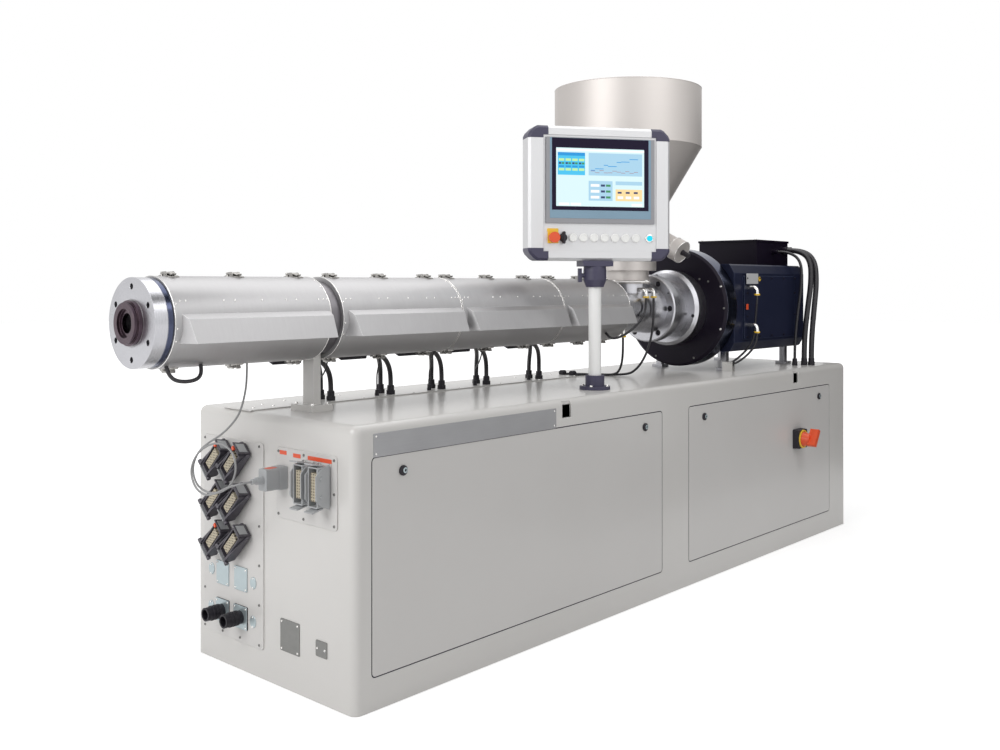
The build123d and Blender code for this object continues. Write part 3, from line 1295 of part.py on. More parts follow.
def water_hoses():
    """Hoses of the motor's and the feed section's cooling water."""
    nut = ELBOW_DROP + HOSE_NUT_LENGTH
    y = -MOTOR_HALF_WIDTH - ELBOW_REACH
    down = (0, 0, -1)
    left = (-1, 0, 0)
    x = ELBOW_X + HOSE_SIDESTEP
    passing = (x, y + HOSE_SIDESTEP, ELBOW_Z[1] - nut / 2)
    upper = drape((ELBOW_X, y, ELBOW_Z[0] - nut), down, passing, down, (50, 50), 4)
    upper = joined(upper, drape(passing, down, (MANIFOLD_X, MANIFOLD_Y + 12, MANIFOLD_Z), left, (80, 50), 5))
    lower = drape((ELBOW_X, y, ELBOW_Z[1] - nut), down, (MANIFOLD_X, MANIFOLD_Y - 12, MANIFOLD_Z), left, (80, 50), 5)
    neck_y = [neck_front(x) - ELBOW_REACH for x in NECK_ELBOW_X]
    neck_z = NECK_ELBOW_Z - nut
    aside = guard_point(HOSE_GUARD_X, HOSE_GUARD_ANGLE)
    inward = (0, -sin(radians(HOSE_GUARD_ANGLE)), cos(radians(HOSE_GUARD_ANGLE)))
    short = drape((NECK_ELBOW_X[0], neck_y[0], neck_z), down, aside, inward, (110, 70), 7)
    deck_z = FRAME_HEIGHT + HOSE_DIAMETER / 2 + 0.3
    turn = (HOSE_TURN_X, HOSE_TURN_Y, deck_z)
    long = drape((NECK_ELBOW_X[1], neck_y[1], neck_z), down, turn, HOSE_TURN_DIRECTION, (220, 90), 8)
    port = (STRIP_X[1] + HOSE_PORT_LENGTH, GLAND_ROWS_Y[0], deck_z)
    long = joined(long, drape(turn, HOSE_TURN_DIRECTION, port, left, (70, 70), 4))
    bottom = (LOWER_ELBOW_X, LOWER_ELBOW_Y, lower_fitting_bottom())
    port_rear = (port[0], GLAND_ROWS_Y[1], deck_z)
    rear_turn = (HOSE_TURN_X - 40, HOSE_TURN_Y + 30, deck_z)
    third = drape(bottom, down, rear_turn, HOSE_TURN_DIRECTION, (110, 60), 6)
    third = joined(third, drape(rear_turn, HOSE_TURN_DIRECTION, port_rear, left, (60, 60), 4))
    routes = {"motor_upper": upper, "motor_lower": lower, "neck_short": short, "neck_long": long, "feed_lower": third}
    return Compound(children=[cord_tube(name, points, HOSE_DIAMETER) for name, points in routes.items()])


def lower_fitting_bottom():
    """Z of the lower end of the fitting under the feed body."""
    top = AXIS_Z - sqrt(FEED_BELL_RADIUS**2 - LOWER_ELBOW_Y**2) + ELBOW_RADIUS
    return top - LOWER_ELBOW_LENGTH - HOSE_NUT_LENGTH


PARTS = {
    "frame_housing": frame_housing,
    "front_cover_left": lambda: cover_plate(COVERS[0]),
    "front_cover_right": lambda: cover_plate(COVERS[1]),
    "rear_covers": lambda: Compound(children=[mirror(cover_plate(span), about=Plane.XZ) for span in COVERS]),
    "cover_locks": cover_locks,
    "switch_base": switch_base,
    "switch_handle": switch_handle,
    "connector_panel": lambda: end_plate(POWER_PANEL_Y, POWER_PANEL_Z),
    "bulkhead_connectors": bulkhead_connectors,
    "connector_inserts": connector_inserts,
    "flange_connectors": flange_connectors,
    "blanking_plates": blanking_plates,
    "signal_plate": lambda: end_plate(SIGNAL_PLATE_Y, SIGNAL_PLATE_Z),
    "signal_connectors": signal_connectors,
    "signal_plug": signal_plug,
    "gland_strip": gland_strip,
    "cable_glands": cable_glands,
    "barrel_tube": barrel_tube,
    "die_flange": die_flange,
    "nose_ring": nose_ring,
    "extruder_screw": extruder_screw,
    "cover_latches": cover_latches,
    "support_ring": support_ring,
    "barrel_pedestal": barrel_pedestal,
    "feed_housing": feed_housing,
    "feed_adapter": feed_adapter,
    "drive_ring": drive_ring,
    "drive_disc": drive_disc,
    "motor_body": motor_body,
    "motor_end_cover": lambda: motor_section(MOTOR_SEAM, MOTOR_END),
    "terminal_box": terminal_box,
    "terminal_lid": terminal_lid,
    "motor_posts": motor_posts,
    "water_elbows": water_elbows,
    "hopper_drum": hopper_drum,
    "hopper_cone": hopper_cone,
    "hopper_neck": hopper_neck,
    "neck_clamp": neck_clamp,
    "drain_spout": drain_spout,
    "spout_cap": spout_cap,
    "pole_foot": pole_foot,
    "panel_pole": panel_pole,
    "panel_coupling": panel_coupling,
    "panel_frame": panel_frame,
    "panel_corners": panel_corners,
    "panel_sheets": panel_sheets,
    "touch_screen": touch_screen,
    "panel_buttons": panel_buttons,
    "stop_button": stop_button,
    "zone_hoods": lambda: Compound(children=[zone_hood(span) for span in GUARD_ENDS]),
    "barrel_lead": barrel_lead,
    "sensor_cable": sensor_cable,
    "lead_ducts": lead_ducts,
    "zone_leads": zone_leads,
    "power_cables": power_cables,
    "water_hoses": water_hoses,
}

os.makedirs("parts", exist_ok=True)
for name, make in PARTS.items():
    export_step(make(), f"parts/{name}.step")
for i, span in enumerate(GUARD_ENDS, start=1):
    export_step(zone_guard(span), f"parts/zone_guard_{i}.step")
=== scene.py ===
# %% [markdown]
# # Dressing a plastic extruder for a studio picture
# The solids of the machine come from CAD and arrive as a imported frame. Nothing in
# that frame is moved or reshaped here. This file gives each solid its finish, adds the
# parts that are too small or too soft for CAD, and sets the studio around it.
# All places are in metres: +X runs along the barrel to the motor, the covers face -Y.

import json
from math import cos, pi, radians, sin

import bmesh
import bpy
from mathutils import Matrix, Vector

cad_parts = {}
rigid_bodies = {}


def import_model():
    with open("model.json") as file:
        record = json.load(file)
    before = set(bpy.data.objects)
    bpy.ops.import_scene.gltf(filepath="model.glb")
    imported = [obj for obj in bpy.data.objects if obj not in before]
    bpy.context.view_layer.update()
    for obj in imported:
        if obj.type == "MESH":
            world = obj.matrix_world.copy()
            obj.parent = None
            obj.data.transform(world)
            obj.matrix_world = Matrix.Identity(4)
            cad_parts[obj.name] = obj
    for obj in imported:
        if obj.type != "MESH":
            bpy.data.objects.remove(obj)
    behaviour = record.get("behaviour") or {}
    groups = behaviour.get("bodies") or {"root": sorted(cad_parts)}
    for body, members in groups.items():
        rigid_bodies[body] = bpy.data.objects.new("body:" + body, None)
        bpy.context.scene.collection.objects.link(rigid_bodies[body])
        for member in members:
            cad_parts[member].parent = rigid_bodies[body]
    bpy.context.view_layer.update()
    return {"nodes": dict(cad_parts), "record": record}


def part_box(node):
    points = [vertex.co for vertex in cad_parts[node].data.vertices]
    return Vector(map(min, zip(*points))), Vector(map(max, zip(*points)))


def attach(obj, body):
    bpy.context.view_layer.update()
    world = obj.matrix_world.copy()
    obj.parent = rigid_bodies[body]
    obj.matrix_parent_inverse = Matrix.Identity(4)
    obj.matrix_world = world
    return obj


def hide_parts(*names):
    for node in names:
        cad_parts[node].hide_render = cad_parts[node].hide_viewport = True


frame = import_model()
nodes = frame["nodes"]
print("frame loaded:", len(nodes), "nodes")

# %% [markdown]
# ## The camera
# The picture was taken from about eye height near the die end, with a lens a little
# longer than a phone's. The camera stays level, so upright edges stay upright, and the
# sensor is shifted down instead of tilting the camera. A shift is a property of the
# camera's data, in parts of the sensor width.

# %% Camera
CAMERA_PLACE = (-3.4643, -2.6326, 1.2031)
CAMERA_TURN = -47.824
CAMERA_LENS = 37.38
CAMERA_SHIFT = -0.0898

camera_data = bpy.data.cameras.new("studio_camera")
camera_data.lens = CAMERA_LENS
camera_data.shift_y = CAMERA_SHIFT
camera = bpy.data.objects.new("studio_camera", camera_data)
camera.location = CAMERA_PLACE
camera.rotation_euler = (radians(90), 0, radians(CAMERA_TURN))
bpy.context.scene.collection.objects.link(camera)
bpy.context.scene.camera = camera
print("camera at", CAMERA_PLACE)

# %% [markdown]
# ## Cables and hoses
# A cable is a round tube whose middle line is one smooth curve. A NURBS curve of order
# three rounds every corner of its control points by itself, so a few points are
# enough. The order and the end setting are given after the points exist, since a
# new spline has only one point and would reset them. The tube's radius is the bevel depth
# times each point's own radius. The points carry the size here and the bevel depth is one,
# because Blender counts the points' radius into the box round a curve.

# %% A helper that makes one cable
CABLE_ROUNDNESS = 5
CABLE_STEPS = 8


def cable(name, node, points, diameter):
    """One cord that stands for its CAD solid."""
    curve = bpy.data.curves.new(name, "CURVE")
    curve.dimensions = "3D"
    spline = curve.splines.new("NURBS")
    spline.points.add(len(points) - 1)
    for control, place in zip(spline.points, points):
        control.co = (*place, 1)
        control.radius = diameter / 2
    spline.order_u = 3
    spline.use_endpoint_u = True
    spline.resolution_u = CABLE_STEPS
    curve.bevel_depth = 1
    curve.bevel_resolution = CABLE_ROUNDNESS
    curve.use_fill_caps = True
    piece = bpy.data.objects.new(name, curve)
    bpy.context.scene.collection.objects.link(piece)
    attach(piece, "machine")
    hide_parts(node)
    return piece


# %% [markdown]
# ### The loop under the first guard and the sensor cable
# A short thick lead hangs in a loop at the die end. The thin grey sensor cable drops
# from the first guard, winds in a loose double loop before the connector panel and
# ends in its plug. The plug is a CAD solid.

# %% Cables of the die end
LEAD_DIAMETER = 0.011
LEAD_ROUTE = [
    (-1.972, -0.0483, 0.9804),
    (-1.972, -0.0521, 0.971),
    (-1.9661, -0.0597, 0.9522),
    (-1.9507, -0.0646, 0.9402),
    (-1.919, -0.0663, 0.9359),
    (-1.8873, -0.0646, 0.9402),
    (-1.8719, -0.0597, 0.9522),
    (-1.866, -0.0521, 0.971),
    (-1.866, -0.0483, 0.9804),
]
SENSOR_DIAMETER = 0.006
SENSOR_ROUTE = [
    (-1.68, 0.0, 0.971),
    (-1.68, 0.0, 0.937),
    (-1.698, -0.02, 0.889),
    (-1.724, -0.03, 0.828),
    (-1.738, 0.0, 0.788),
    (-1.74, 0.052, 0.756),
    (-1.74, 0.116, 0.728),
    (-1.741, 0.172, 0.694),
    (-1.742, 0.2, 0.642),
    (-1.743, 0.176, 0.596),
    (-1.744, 0.116, 0.58),
    (-1.745, 0.052, 0.586),
    (-1.746, -0.01, 0.612),
    (-1.748, -0.05, 0.664),
    (-1.751, -0.036, 0.718),
    (-1.753, 0.018, 0.74),
    (-1.755, 0.084, 0.73),
    (-1.757, 0.146, 0.698),
    (-1.759, 0.182, 0.646),
    (-1.761, 0.16, 0.598),
    (-1.763, 0.104, 0.576),
    (-1.765, 0.042, 0.588),
    (-1.765, -0.02, 0.614),
    (-1.756, -0.062, 0.628),
    (-1.732, -0.076, 0.632),
    (-1.716, -0.076, 0.632),
]

barrel_lead = cable("barrel_lead_cable", "barrel_lead", LEAD_ROUTE, LEAD_DIAMETER)
sensor_cable = cable(
    "sensor_loop_cable",
    "sensor_cable",
    SENSOR_ROUTE,
    SENSOR_DIAMETER,
)
print("die end cables:", barrel_lead.name, sensor_cable.name)

# %% [markdown]
# ### Heater leads
# At five stations along the barrel two thick leads come out of the duct under the
# guards and bend down into the glands on the deck. A thin sensor wire goes beside
# them. The groups are alike, so one set of points is moved along X. The wires start at
# different places, so their points keep the share of the way to the gland instead of X.

# %% Heater leads and sensor wires
STATIONS = (-1.247, -0.977, -0.722, -0.475, -0.154)
HEATER_DIAMETER = 0.017
HEATER_ROUTES = {
    "front": [
        (-0.2, 0.0592, 0.9731),
        (-0.1715, 0.0592, 0.9731),
        (-0.1281, 0.0684, 0.9673),
        (-0.0824, 0.0904, 0.9514),
        (-0.0412, 0.1167, 0.928),
        (-0.0115, 0.1388, 0.8995),
        (0, 0.148, 0.8685),
        (0, 0.148, 0.846),
    ],
    "rear": [
        (-0.2, 0.0823, 0.9867),
        (-0.1715, 0.0823, 0.9867),
        (-0.1281, 0.0948, 0.9795),
        (-0.0824, 0.1248, 0.9602),
        (-0.0412, 0.1605, 0.9328),
        (-0.0115, 0.1904, 0.901),
        (0, 0.203, 0.8685),
        (0, 0.203, 0.846),
    ],
}
WIRE_DIAMETER = 0.005
WIRE_GLAND_STEP = -0.065
WIRE_STARTS = (-1.35, -1.126, -0.875, -0.618, -0.343)
WIRE_LENGTHS = (0.201, 0.219, 0.221, 0.216, 0.243)
WIRE_ROUTE = [
    (0, 0.0312, 0.9748),
    (0, 0.0377, 0.9486),
    (0.156, 0.0614, 0.9151),
    (0.5, 0.0986, 0.8973),
    (0.844, 0.1329, 0.8817),
    (1, 0.148, 0.855),
    (1, 0.148, 0.834),
]

for count, station in enumerate(STATIONS, 1):
    for row, route in HEATER_ROUTES.items():
        moved = [(x + station, y, z) for x, y, z in route]
        cable(f"heater_lead_{count}_{row}", "zone_leads", moved, HEATER_DIAMETER)
for count, (station, start, length) in enumerate(zip(STATIONS, WIRE_STARTS, WIRE_LENGTHS), 1):
    reach = station + WIRE_GLAND_STEP - start
    moved = [(start + share * reach, y, z) for share, y, z in WIRE_ROUTE]
    cable(f"sensor_wire_{count}", "zone_leads", moved, WIRE_DIAMETER)
print("leads at", len(STATIONS), "stations")

# %% [markdown]
# ### Motor cables
# Two thick power cables and a thin one leave the terminal box towards the front and
# bow down to the deck. They are stiff, so the bow is wide. Each entry of the table holds
# a cable's diameter, its length and its route.

# %% Motor cables
POWER_ROUTES = {
    "fan_cable": (
        0.014,
        0.613,
        [
            (1.29, -0.19, 1.368),
            (1.29, -0.25, 1.368),
            (1.2884, -0.3145, 1.3239),
            (1.285, -0.32, 1.2132),
            (1.2816, -0.2992, 1.0685),
            (1.28, -0.285, 0.922),
            (1.28, -0.285, 0.844),
        ],
    ),
    "power_cable_left": (
        0.026,
        0.629,
        [
            (1.391, -0.19, 1.378),
            (1.391, -0.25, 1.378),
            (1.3821, -0.3181, 1.3323),
            (1.3625, -0.3315, 1.2183),
            (1.3429, -0.3186, 1.07),
            (1.334, -0.308, 0.922),
            (1.334, -0.308, 0.844),
        ],
    ),
    "power_cable_right": (
        0.026,
        0.638,
        [
            (1.432, -0.19, 1.378),
            (1.432, -0.25, 1.378),
            (1.4195, -0.3227, 1.3323),
            (1.392, -0.346, 1.2183),
            (1.3645, -0.3431, 1.07),
            (1.352, -0.337, 0.922),
            (1.352, -0.337, 0.844),
        ],
    ),
}

for name, (diameter, length, route) in POWER_ROUTES.items():
    cable(name, "power_cables", route, diameter)
print("motor cables:", len(POWER_ROUTES))

# %% [markdown]
# ### Cooling water hoses
# Five thin black hoses carry the cooling water of the motor and the feed section. Each
# hangs from its fitting. The motor's two end in a block on the deck, a short one goes
# into the guard beside the neck, and the last two lie on the deck before their ports at
# the end of the gland strip.

# %% Water hoses
HOSE_DIAMETER = 0.010
HOSE_ROUTES = {
    "hose_motor_upper": (
        0.388,
        [
            (0.851, -0.312, 1.156),
            (0.851, -0.312, 1.141),
            (0.8544, -0.3086, 1.1118),
            (0.8696, -0.2934, 1.0462),
            (0.873, -0.29, 1.002),
            (0.8669, -0.2813, 0.9424),
            (0.851, -0.2604, 0.9059),
            (0.8292, -0.2356, 0.8737),
            (0.8049, -0.2147, 0.8508),
            (0.782, -0.206, 0.842),
            (0.767, -0.206, 0.842),
        ],
    ),
    "hose_motor_lower": (
        0.208,
        [
            (0.851, -0.312, 0.984),
            (0.851, -0.312, 0.96),
            (0.8472, -0.3035, 0.9262),
            (0.8368, -0.2831, 0.8943),
            (0.8214, -0.2589, 0.8674),
            (0.8026, -0.2385, 0.8489),
            (0.782, -0.23, 0.842),
            (0.767, -0.23, 0.842),
        ],
    ),
    "hose_neck_short": (
        0.36,
        [
            (0.246, -0.1139, 1.148),
            (0.246, -0.1139, 1.115),
            (0.2318, -0.1152, 1.0821),
            (0.1952, -0.118, 1.0508),
            (0.1452, -0.1208, 1.0232),
            (0.0908, -0.1223, 1.0014),
            (0.0408, -0.121, 0.9876),
            (0.0042, -0.1155, 0.9838),
            (-0.01, -0.1042, 0.9921),
            (-0.01, -0.0896, 1.0072),
        ],
    ),
    "hose_neck_long": (
        0.61,
        [
            (0.306, -0.1123, 1.148),
            (0.306, -0.1123, 1.082),
            (0.3043, -0.1101, 1.0263),
            (0.2996, -0.1037, 0.9754),
            (0.2923, -0.0937, 0.9299),
            (0.2828, -0.0809, 0.8909),
            (0.2715, -0.0656, 0.8591),
            (0.2588, -0.0486, 0.8353),
            (0.2453, -0.0304, 0.8204),
            (0.215, 0.01, 0.8153),
            (0.1817, 0.0623, 0.8153),
            (0.161, 0.1021, 0.8153),
            (0.1368, 0.1346, 0.8153),
            (0.105, 0.148, 0.8153),
            (0.084, 0.148, 0.8153),
        ],
    ),
    "hose_feed_lower": (
        0.428,
        [
            (0.15, -0.062, 0.9815),
            (0.15, -0.062, 0.9485),
            (0.1544, -0.0578, 0.9119),
            (0.1649, -0.0468, 0.8797),
            (0.1774, -0.0308, 0.853),
            (0.1877, -0.012, 0.8327),
            (0.1919, 0.0074, 0.8198),
            (0.175, 0.04, 0.8153),
            (0.1498, 0.0918, 0.8153),
            (0.1394, 0.1413, 0.8153),
            (0.1259, 0.1845, 0.8153),
            (0.102, 0.203, 0.8153),
            (0.084, 0.203, 0.8153),
        ],
    ),
}

for name, (length, route) in HOSE_ROUTES.items():
    cable(name, "water_hoses", route, HOSE_DIAMETER)
print("water hoses:", len(HOSE_ROUTES))

# %% [markdown]
# ## The studio
# The machine stands on a pale floor before a white background. A white backdrop comes
# from the shader, not from more light: the Light Path node tells a ray that goes
# straight to the camera, or by a mirror or glass, from one that lights the object, and
# only the first kind sees full white. The floor adds a white glow for the same rays. The
# glow is weak round the machine, where it leaves a faint shadow, and grows with the
# distance from the floor's middle, so that the floor fades into the background.

# %% Background and floor
WHITE = (1, 1, 1, 1)
SKY_LIGHT = 0.3
FLOOR_SIZE = 60
FLOOR_Z = -0.001
FLOOR_COLOUR = (0.8, 0.8, 0.8, 1)
FLOOR_GLOW = 0.5
FAR_GLOW = 1.0
FADE_START = 1.9
FADE_END = 5.0


def seen_directly(tree):
    """A value of 1 for rays from the camera, from mirrors and through glass."""
    path = tree.nodes.new("ShaderNodeLightPath")
    mirrored = tree.nodes.new("ShaderNodeMath")
    mirrored.operation = "MAXIMUM"
    tree.links.new(path.outputs["Is Camera Ray"], mirrored.inputs[0])
    tree.links.new(path.outputs["Is Glossy Ray"], mirrored.inputs[1])
    through = tree.nodes.new("ShaderNodeMath")
    through.operation = "MAXIMUM"
    tree.links.new(mirrored.outputs["Value"], through.inputs[0])
    tree.links.new(path.outputs["Is Transmission Ray"], through.inputs[1])
    return through.outputs["Value"]


def flat_card(name, size, material):
    """A square sheet that belongs to the studio and not to the machine."""
    grid = bmesh.new()
    bmesh.ops.create_grid(grid, x_segments=1, y_segments=1, size=size / 2)
    data = bpy.data.meshes.new(name)
    grid.to_mesh(data)
    grid.free()
    data.materials.append(material)
    card = bpy.data.objects.new(name, data)
    bpy.context.scene.collection.objects.link(card)
    return card


world = bpy.data.worlds.new("studio")
world.use_nodes = True
bpy.context.scene.world = world
bpy.context.scene.view_settings.view_transform = "Standard"
sky = world.node_tree
sky_brightness = sky.nodes.new("ShaderNodeMapRange")
sky_brightness.inputs["To Min"].default_value = SKY_LIGHT
sky.links.new(seen_directly(sky), sky_brightness.inputs["Value"])
sky.nodes["Background"].inputs["Color"].default_value = WHITE
sky.links.new(sky_brightness.outputs["Result"], sky.nodes["Background"].inputs["Strength"])

floor_material = bpy.data.materials.new("studio_floor")
floor_material.use_nodes = True
floor_tree = floor_material.node_tree
floor_shader = floor_tree.nodes["Principled BSDF"]
floor_shader.inputs["Base Color"].default_value = FLOOR_COLOUR
floor_shader.inputs["Roughness"].default_value = 0.9
floor_shader.inputs["Specular IOR Level"].default_value = 0.1
floor_shader.inputs["Emission Color"].default_value = WHITE
floor_place = floor_tree.nodes.new("ShaderNodeTexCoord")
distance = floor_tree.nodes.new("ShaderNodeVectorMath")
distance.operation = "LENGTH"
floor_tree.links.new(floor_place.outputs["Object"], distance.inputs[0])
fade = floor_tree.nodes.new("ShaderNodeMapRange")
fade.interpolation_type = "SMOOTHSTEP"
fade.inputs["From Min"].default_value = FADE_START
fade.inputs["From Max"].default_value = FADE_END
fade.inputs["To Min"].default_value = FLOOR_GLOW
fade.inputs["To Max"].default_value = FAR_GLOW
floor_tree.links.new(distance.outputs["Value"], fade.inputs["Value"])
floor_glow = floor_tree.nodes.new("ShaderNodeMath")
floor_glow.operation = "MULTIPLY"
floor_tree.links.new(fade.outputs["Result"], floor_glow.inputs[1])
floor_tree.links.new(seen_directly(floor_tree), floor_glow.inputs[0])
floor_tree.links.new(floor_glow.outputs["Value"], floor_shader.inputs["Emission Strength"])

studio_floor = flat_card("studio_floor", FLOOR_SIZE, floor_material)
studio_floor.location.z = FLOOR_Z
print("studio: floor of", FLOOR_SIZE, "m")

# %% [markdown]
# ## Lamps
# The key lamp is big and stands beyond the die end, where it gives the pale end wall.
# One above gives the bright deck, a weaker one fills the front, and a small one draws a
# light edge along the panel and the guards. Large lamps give soft shadows, as the
# umbrellas of a studio do. The table holds each lamp's place, its aim, the length of its
# side and its power in watts.

# %% Lamps
LAMPS = {
    "key_lamp": ((-5.2, 0.2, 2.9), (-0.8, 0, 0.7), 3.0, 120),
    "top_lamp": ((0.6, 0.6, 4.6), (0.3, 0, 0.8), 4.0, 80),
    "front_lamp": ((-1.2, -5.0, 3.4), (0, 0, 0.8), 4.0, 48),
    "edge_lamp": ((0.2, -2.2, 3.4), (0.1, -0.3, 0.8), 1.2, 16),
}

for name, (place, target, size, power) in LAMPS.items():
    lamp_data = bpy.data.lights.new(name, "AREA")
    lamp_data.size = size
    lamp_data.energy = power
    lamp = bpy.data.objects.new(name, lamp_data)
    lamp.location = place
    lamp.rotation_euler = (Vector(target) - Vector(place)).to_track_quat("-Z", "Y").to_euler()
    bpy.context.scene.collection.objects.link(lamp)
print("lamps:", ", ".join(LAMPS))

# %% [markdown]
# A white room makes bare metal look flat. Three black flags stand where only mirrors
# can see them, as a photographer's black cards do. They give the hopper's right side, the
# feed section and the die flange their dark reflections. The visibility switches of an
# object take a flag out of the camera's view and keep it from casting a shadow.

# %% Black flags
FLAGS = {
    "side_flag": ((3.2, -0.8, 0.9), (0.3, 0, 0.9), 3.0),
    "low_flag": ((1.6, -2.4, 0.05), (1.6, -2.4, 2.0), 2.6),
    "flange_flag": ((-1.62, -0.42, 1.85), (-2.03, -0.1, 1.2), 0.36),
}

flag_material = bpy.data.materials.new("black_flag")
flag_material.use_nodes = True
flag_shader = flag_material.node_tree.nodes["Principled BSDF"]
flag_shader.inputs["Base Color"].default_value = (0.01, 0.01, 0.012, 1)
flag_shader.inputs["Roughness"].default_value = 1
flag_shader.inputs["Specular IOR Level"].default_value = 0

for name, (place, target, size) in FLAGS.items():
    flag = flat_card(name, size, flag_material)
    flag.location = place
    flag.rotation_euler = (Vector(target) - Vector(place)).to_track_quat("Z", "Y").to_euler()
    flag.visible_camera = False
    flag.visible_diffuse = False
    flag.visible_shadow = False
    flag.visible_transmission = False
print("flags:", ", ".join(FLAGS))

# %% [markdown]
# ## Finishes
# Each finish is a Principled BSDF whose colour, roughness and bump come from procedural
# noise, so nothing is painted by hand and nothing is read from a picture. What several
# finishes share is built once as a node group: a group is a small machine with named
# inputs and outputs. The groups only give masks, and each material decides what they do.
# Every pattern reads object coordinates, which are metres in the machine's frame here.
# The Mix node keeps a pair of sockets for every kind of data, and the names repeat, so
# its colour sockets are picked by their number.

# %% Helpers for node groups and materials
FIRST_COLOUR = 6
SECOND_COLOUR = 7
MIXED_COLOUR = 2


def new_group(name, inputs, outputs):
    """An empty shader group with its sockets, and its two end nodes."""
    group = bpy.data.node_groups.new(name, "ShaderNodeTree")
    for label, kind, value in inputs:
        socket = group.interface.new_socket(label, in_out="INPUT", socket_type=kind)
        socket.default_value = value
    for label, kind in outputs:
        group.interface.new_socket(label, in_out="OUTPUT", socket_type=kind)
    return group, group.nodes.new("NodeGroupInput"), group.nodes.new("NodeGroupOutput")


def math_node(tree, operation, first, second=None):
    """A Math node fed by sockets or plain numbers; gives its result socket."""
    node = tree.nodes.new("ShaderNodeMath")
    node.operation = operation
    for socket, value in zip(node.inputs, (first, second)):
        if isinstance(value, (int, float)):
            socket.default_value = value
        elif value is not None:
            tree.links.new(value, socket)
    return node.outputs["Value"]


def map_range(tree, value, low, high):
    """A value from 0 to 1 spread between low and high."""
    node = tree.nodes.new("ShaderNodeMapRange")
    node.inputs["To Min"].default_value = low
    node.inputs["To Max"].default_value = high
    tree.links.new(value, node.inputs["Value"])
    return node.outputs["Result"]


def mix_colours(tree, mask, first, second):
    """Goes from the first colour to the second where the mask is 1; either may be a socket."""
    node = tree.nodes.new("ShaderNodeMix")
    node.data_type = "RGBA"
    for socket, colour in ((node.inputs[FIRST_COLOUR], first), (node.inputs[SECOND_COLOUR], second)):
        if isinstance(colour, tuple):
            socket.default_value = (*colour, 1)
        else:
            tree.links.new(colour, socket)
    tree.links.new(mask, node.inputs["Factor"])
    return node.outputs[MIXED_COLOUR]


print("shader helpers ready")

# %% [markdown]
# ### Shared effects
# Four effects serve all finishes. Blotches are slow changes of tone, as in a large
# painted or rolled sheet. Grain is noise that is stretched along one direction, as a
# sanding belt leaves it. Turning marks are rings round a shaft's axis, as a lathe
# leaves them. Soft edges round every sharp corner in the shading and give a mask of
# where an edge is, which the finishes use to paint a highlight along their edges.

# %% The shared effect groups
AXIS_HEIGHT = 1.1
EDGE_SAMPLES = 6
EDGE_GAIN = 6.0


def blotch_group():
    group, given, result = new_group(
        "blotches", [("Size", "NodeSocketFloat", 0.1)], [("Mask", "NodeSocketFloat")]
    )
    place = group.nodes.new("ShaderNodeTexCoord")
    noise = group.nodes.new("ShaderNodeTexNoise")
    noise.inputs["Detail"].default_value = 4
    group.links.new(place.outputs["Object"], noise.inputs["Vector"])
    group.links.new(math_node(group, "DIVIDE", 1.0, given.outputs["Size"]), noise.inputs["Scale"])
    group.links.new(noise.outputs["Fac"], result.inputs["Mask"])
    return group


def grain_group():
    group, given, result = new_group(
        "grain", [("Scale", "NodeSocketVector", (10, 900, 900))], [("Mask", "NodeSocketFloat")]
    )
    place = group.nodes.new("ShaderNodeTexCoord")
    stretch = group.nodes.new("ShaderNodeVectorMath")
    stretch.operation = "MULTIPLY"
    noise = group.nodes.new("ShaderNodeTexNoise")
    noise.inputs["Scale"].default_value = 1
    noise.inputs["Detail"].default_value = 3
    group.links.new(place.outputs["Object"], stretch.inputs[0])
    group.links.new(given.outputs["Scale"], stretch.inputs[1])
    group.links.new(stretch.outputs["Vector"], noise.inputs["Vector"])
    group.links.new(noise.outputs["Fac"], result.inputs["Mask"])
    return group


def turning_group():
    """Rings round an axis along X; Centre is where the axis crosses X = 0."""
    group, given, result = new_group(
        "turning_marks",
        [("Centre", "NodeSocketVector", (0, 0, AXIS_HEIGHT)), ("Density", "NodeSocketFloat", 500)],
        [("Mask", "NodeSocketFloat")],
    )
    place = group.nodes.new("ShaderNodeTexCoord")
    offset = group.nodes.new("ShaderNodeVectorMath")
    offset.operation = "SUBTRACT"
    group.links.new(place.outputs["Object"], offset.inputs[0])
    group.links.new(given.outputs["Centre"], offset.inputs[1])
    split = group.nodes.new("ShaderNodeSeparateXYZ")
    group.links.new(offset.outputs["Vector"], split.inputs["Vector"])
    across = math_node(group, "MULTIPLY", split.outputs["Y"], split.outputs["Y"])
    upward = math_node(group, "MULTIPLY", split.outputs["Z"], split.outputs["Z"])
    radius = math_node(group, "SQRT", math_node(group, "ADD", across, upward))
    ring = math_node(group, "ADD", radius, split.outputs["X"])
    noise = group.nodes.new("ShaderNodeTexNoise")
    noise.noise_dimensions = "1D"
    noise.inputs["Scale"].default_value = 1
    noise.inputs["Detail"].default_value = 3
    group.links.new(math_node(group, "MULTIPLY", ring, given.outputs["Density"]), noise.inputs["W"])
    group.links.new(noise.outputs["Fac"], result.inputs["Mask"])
    return group


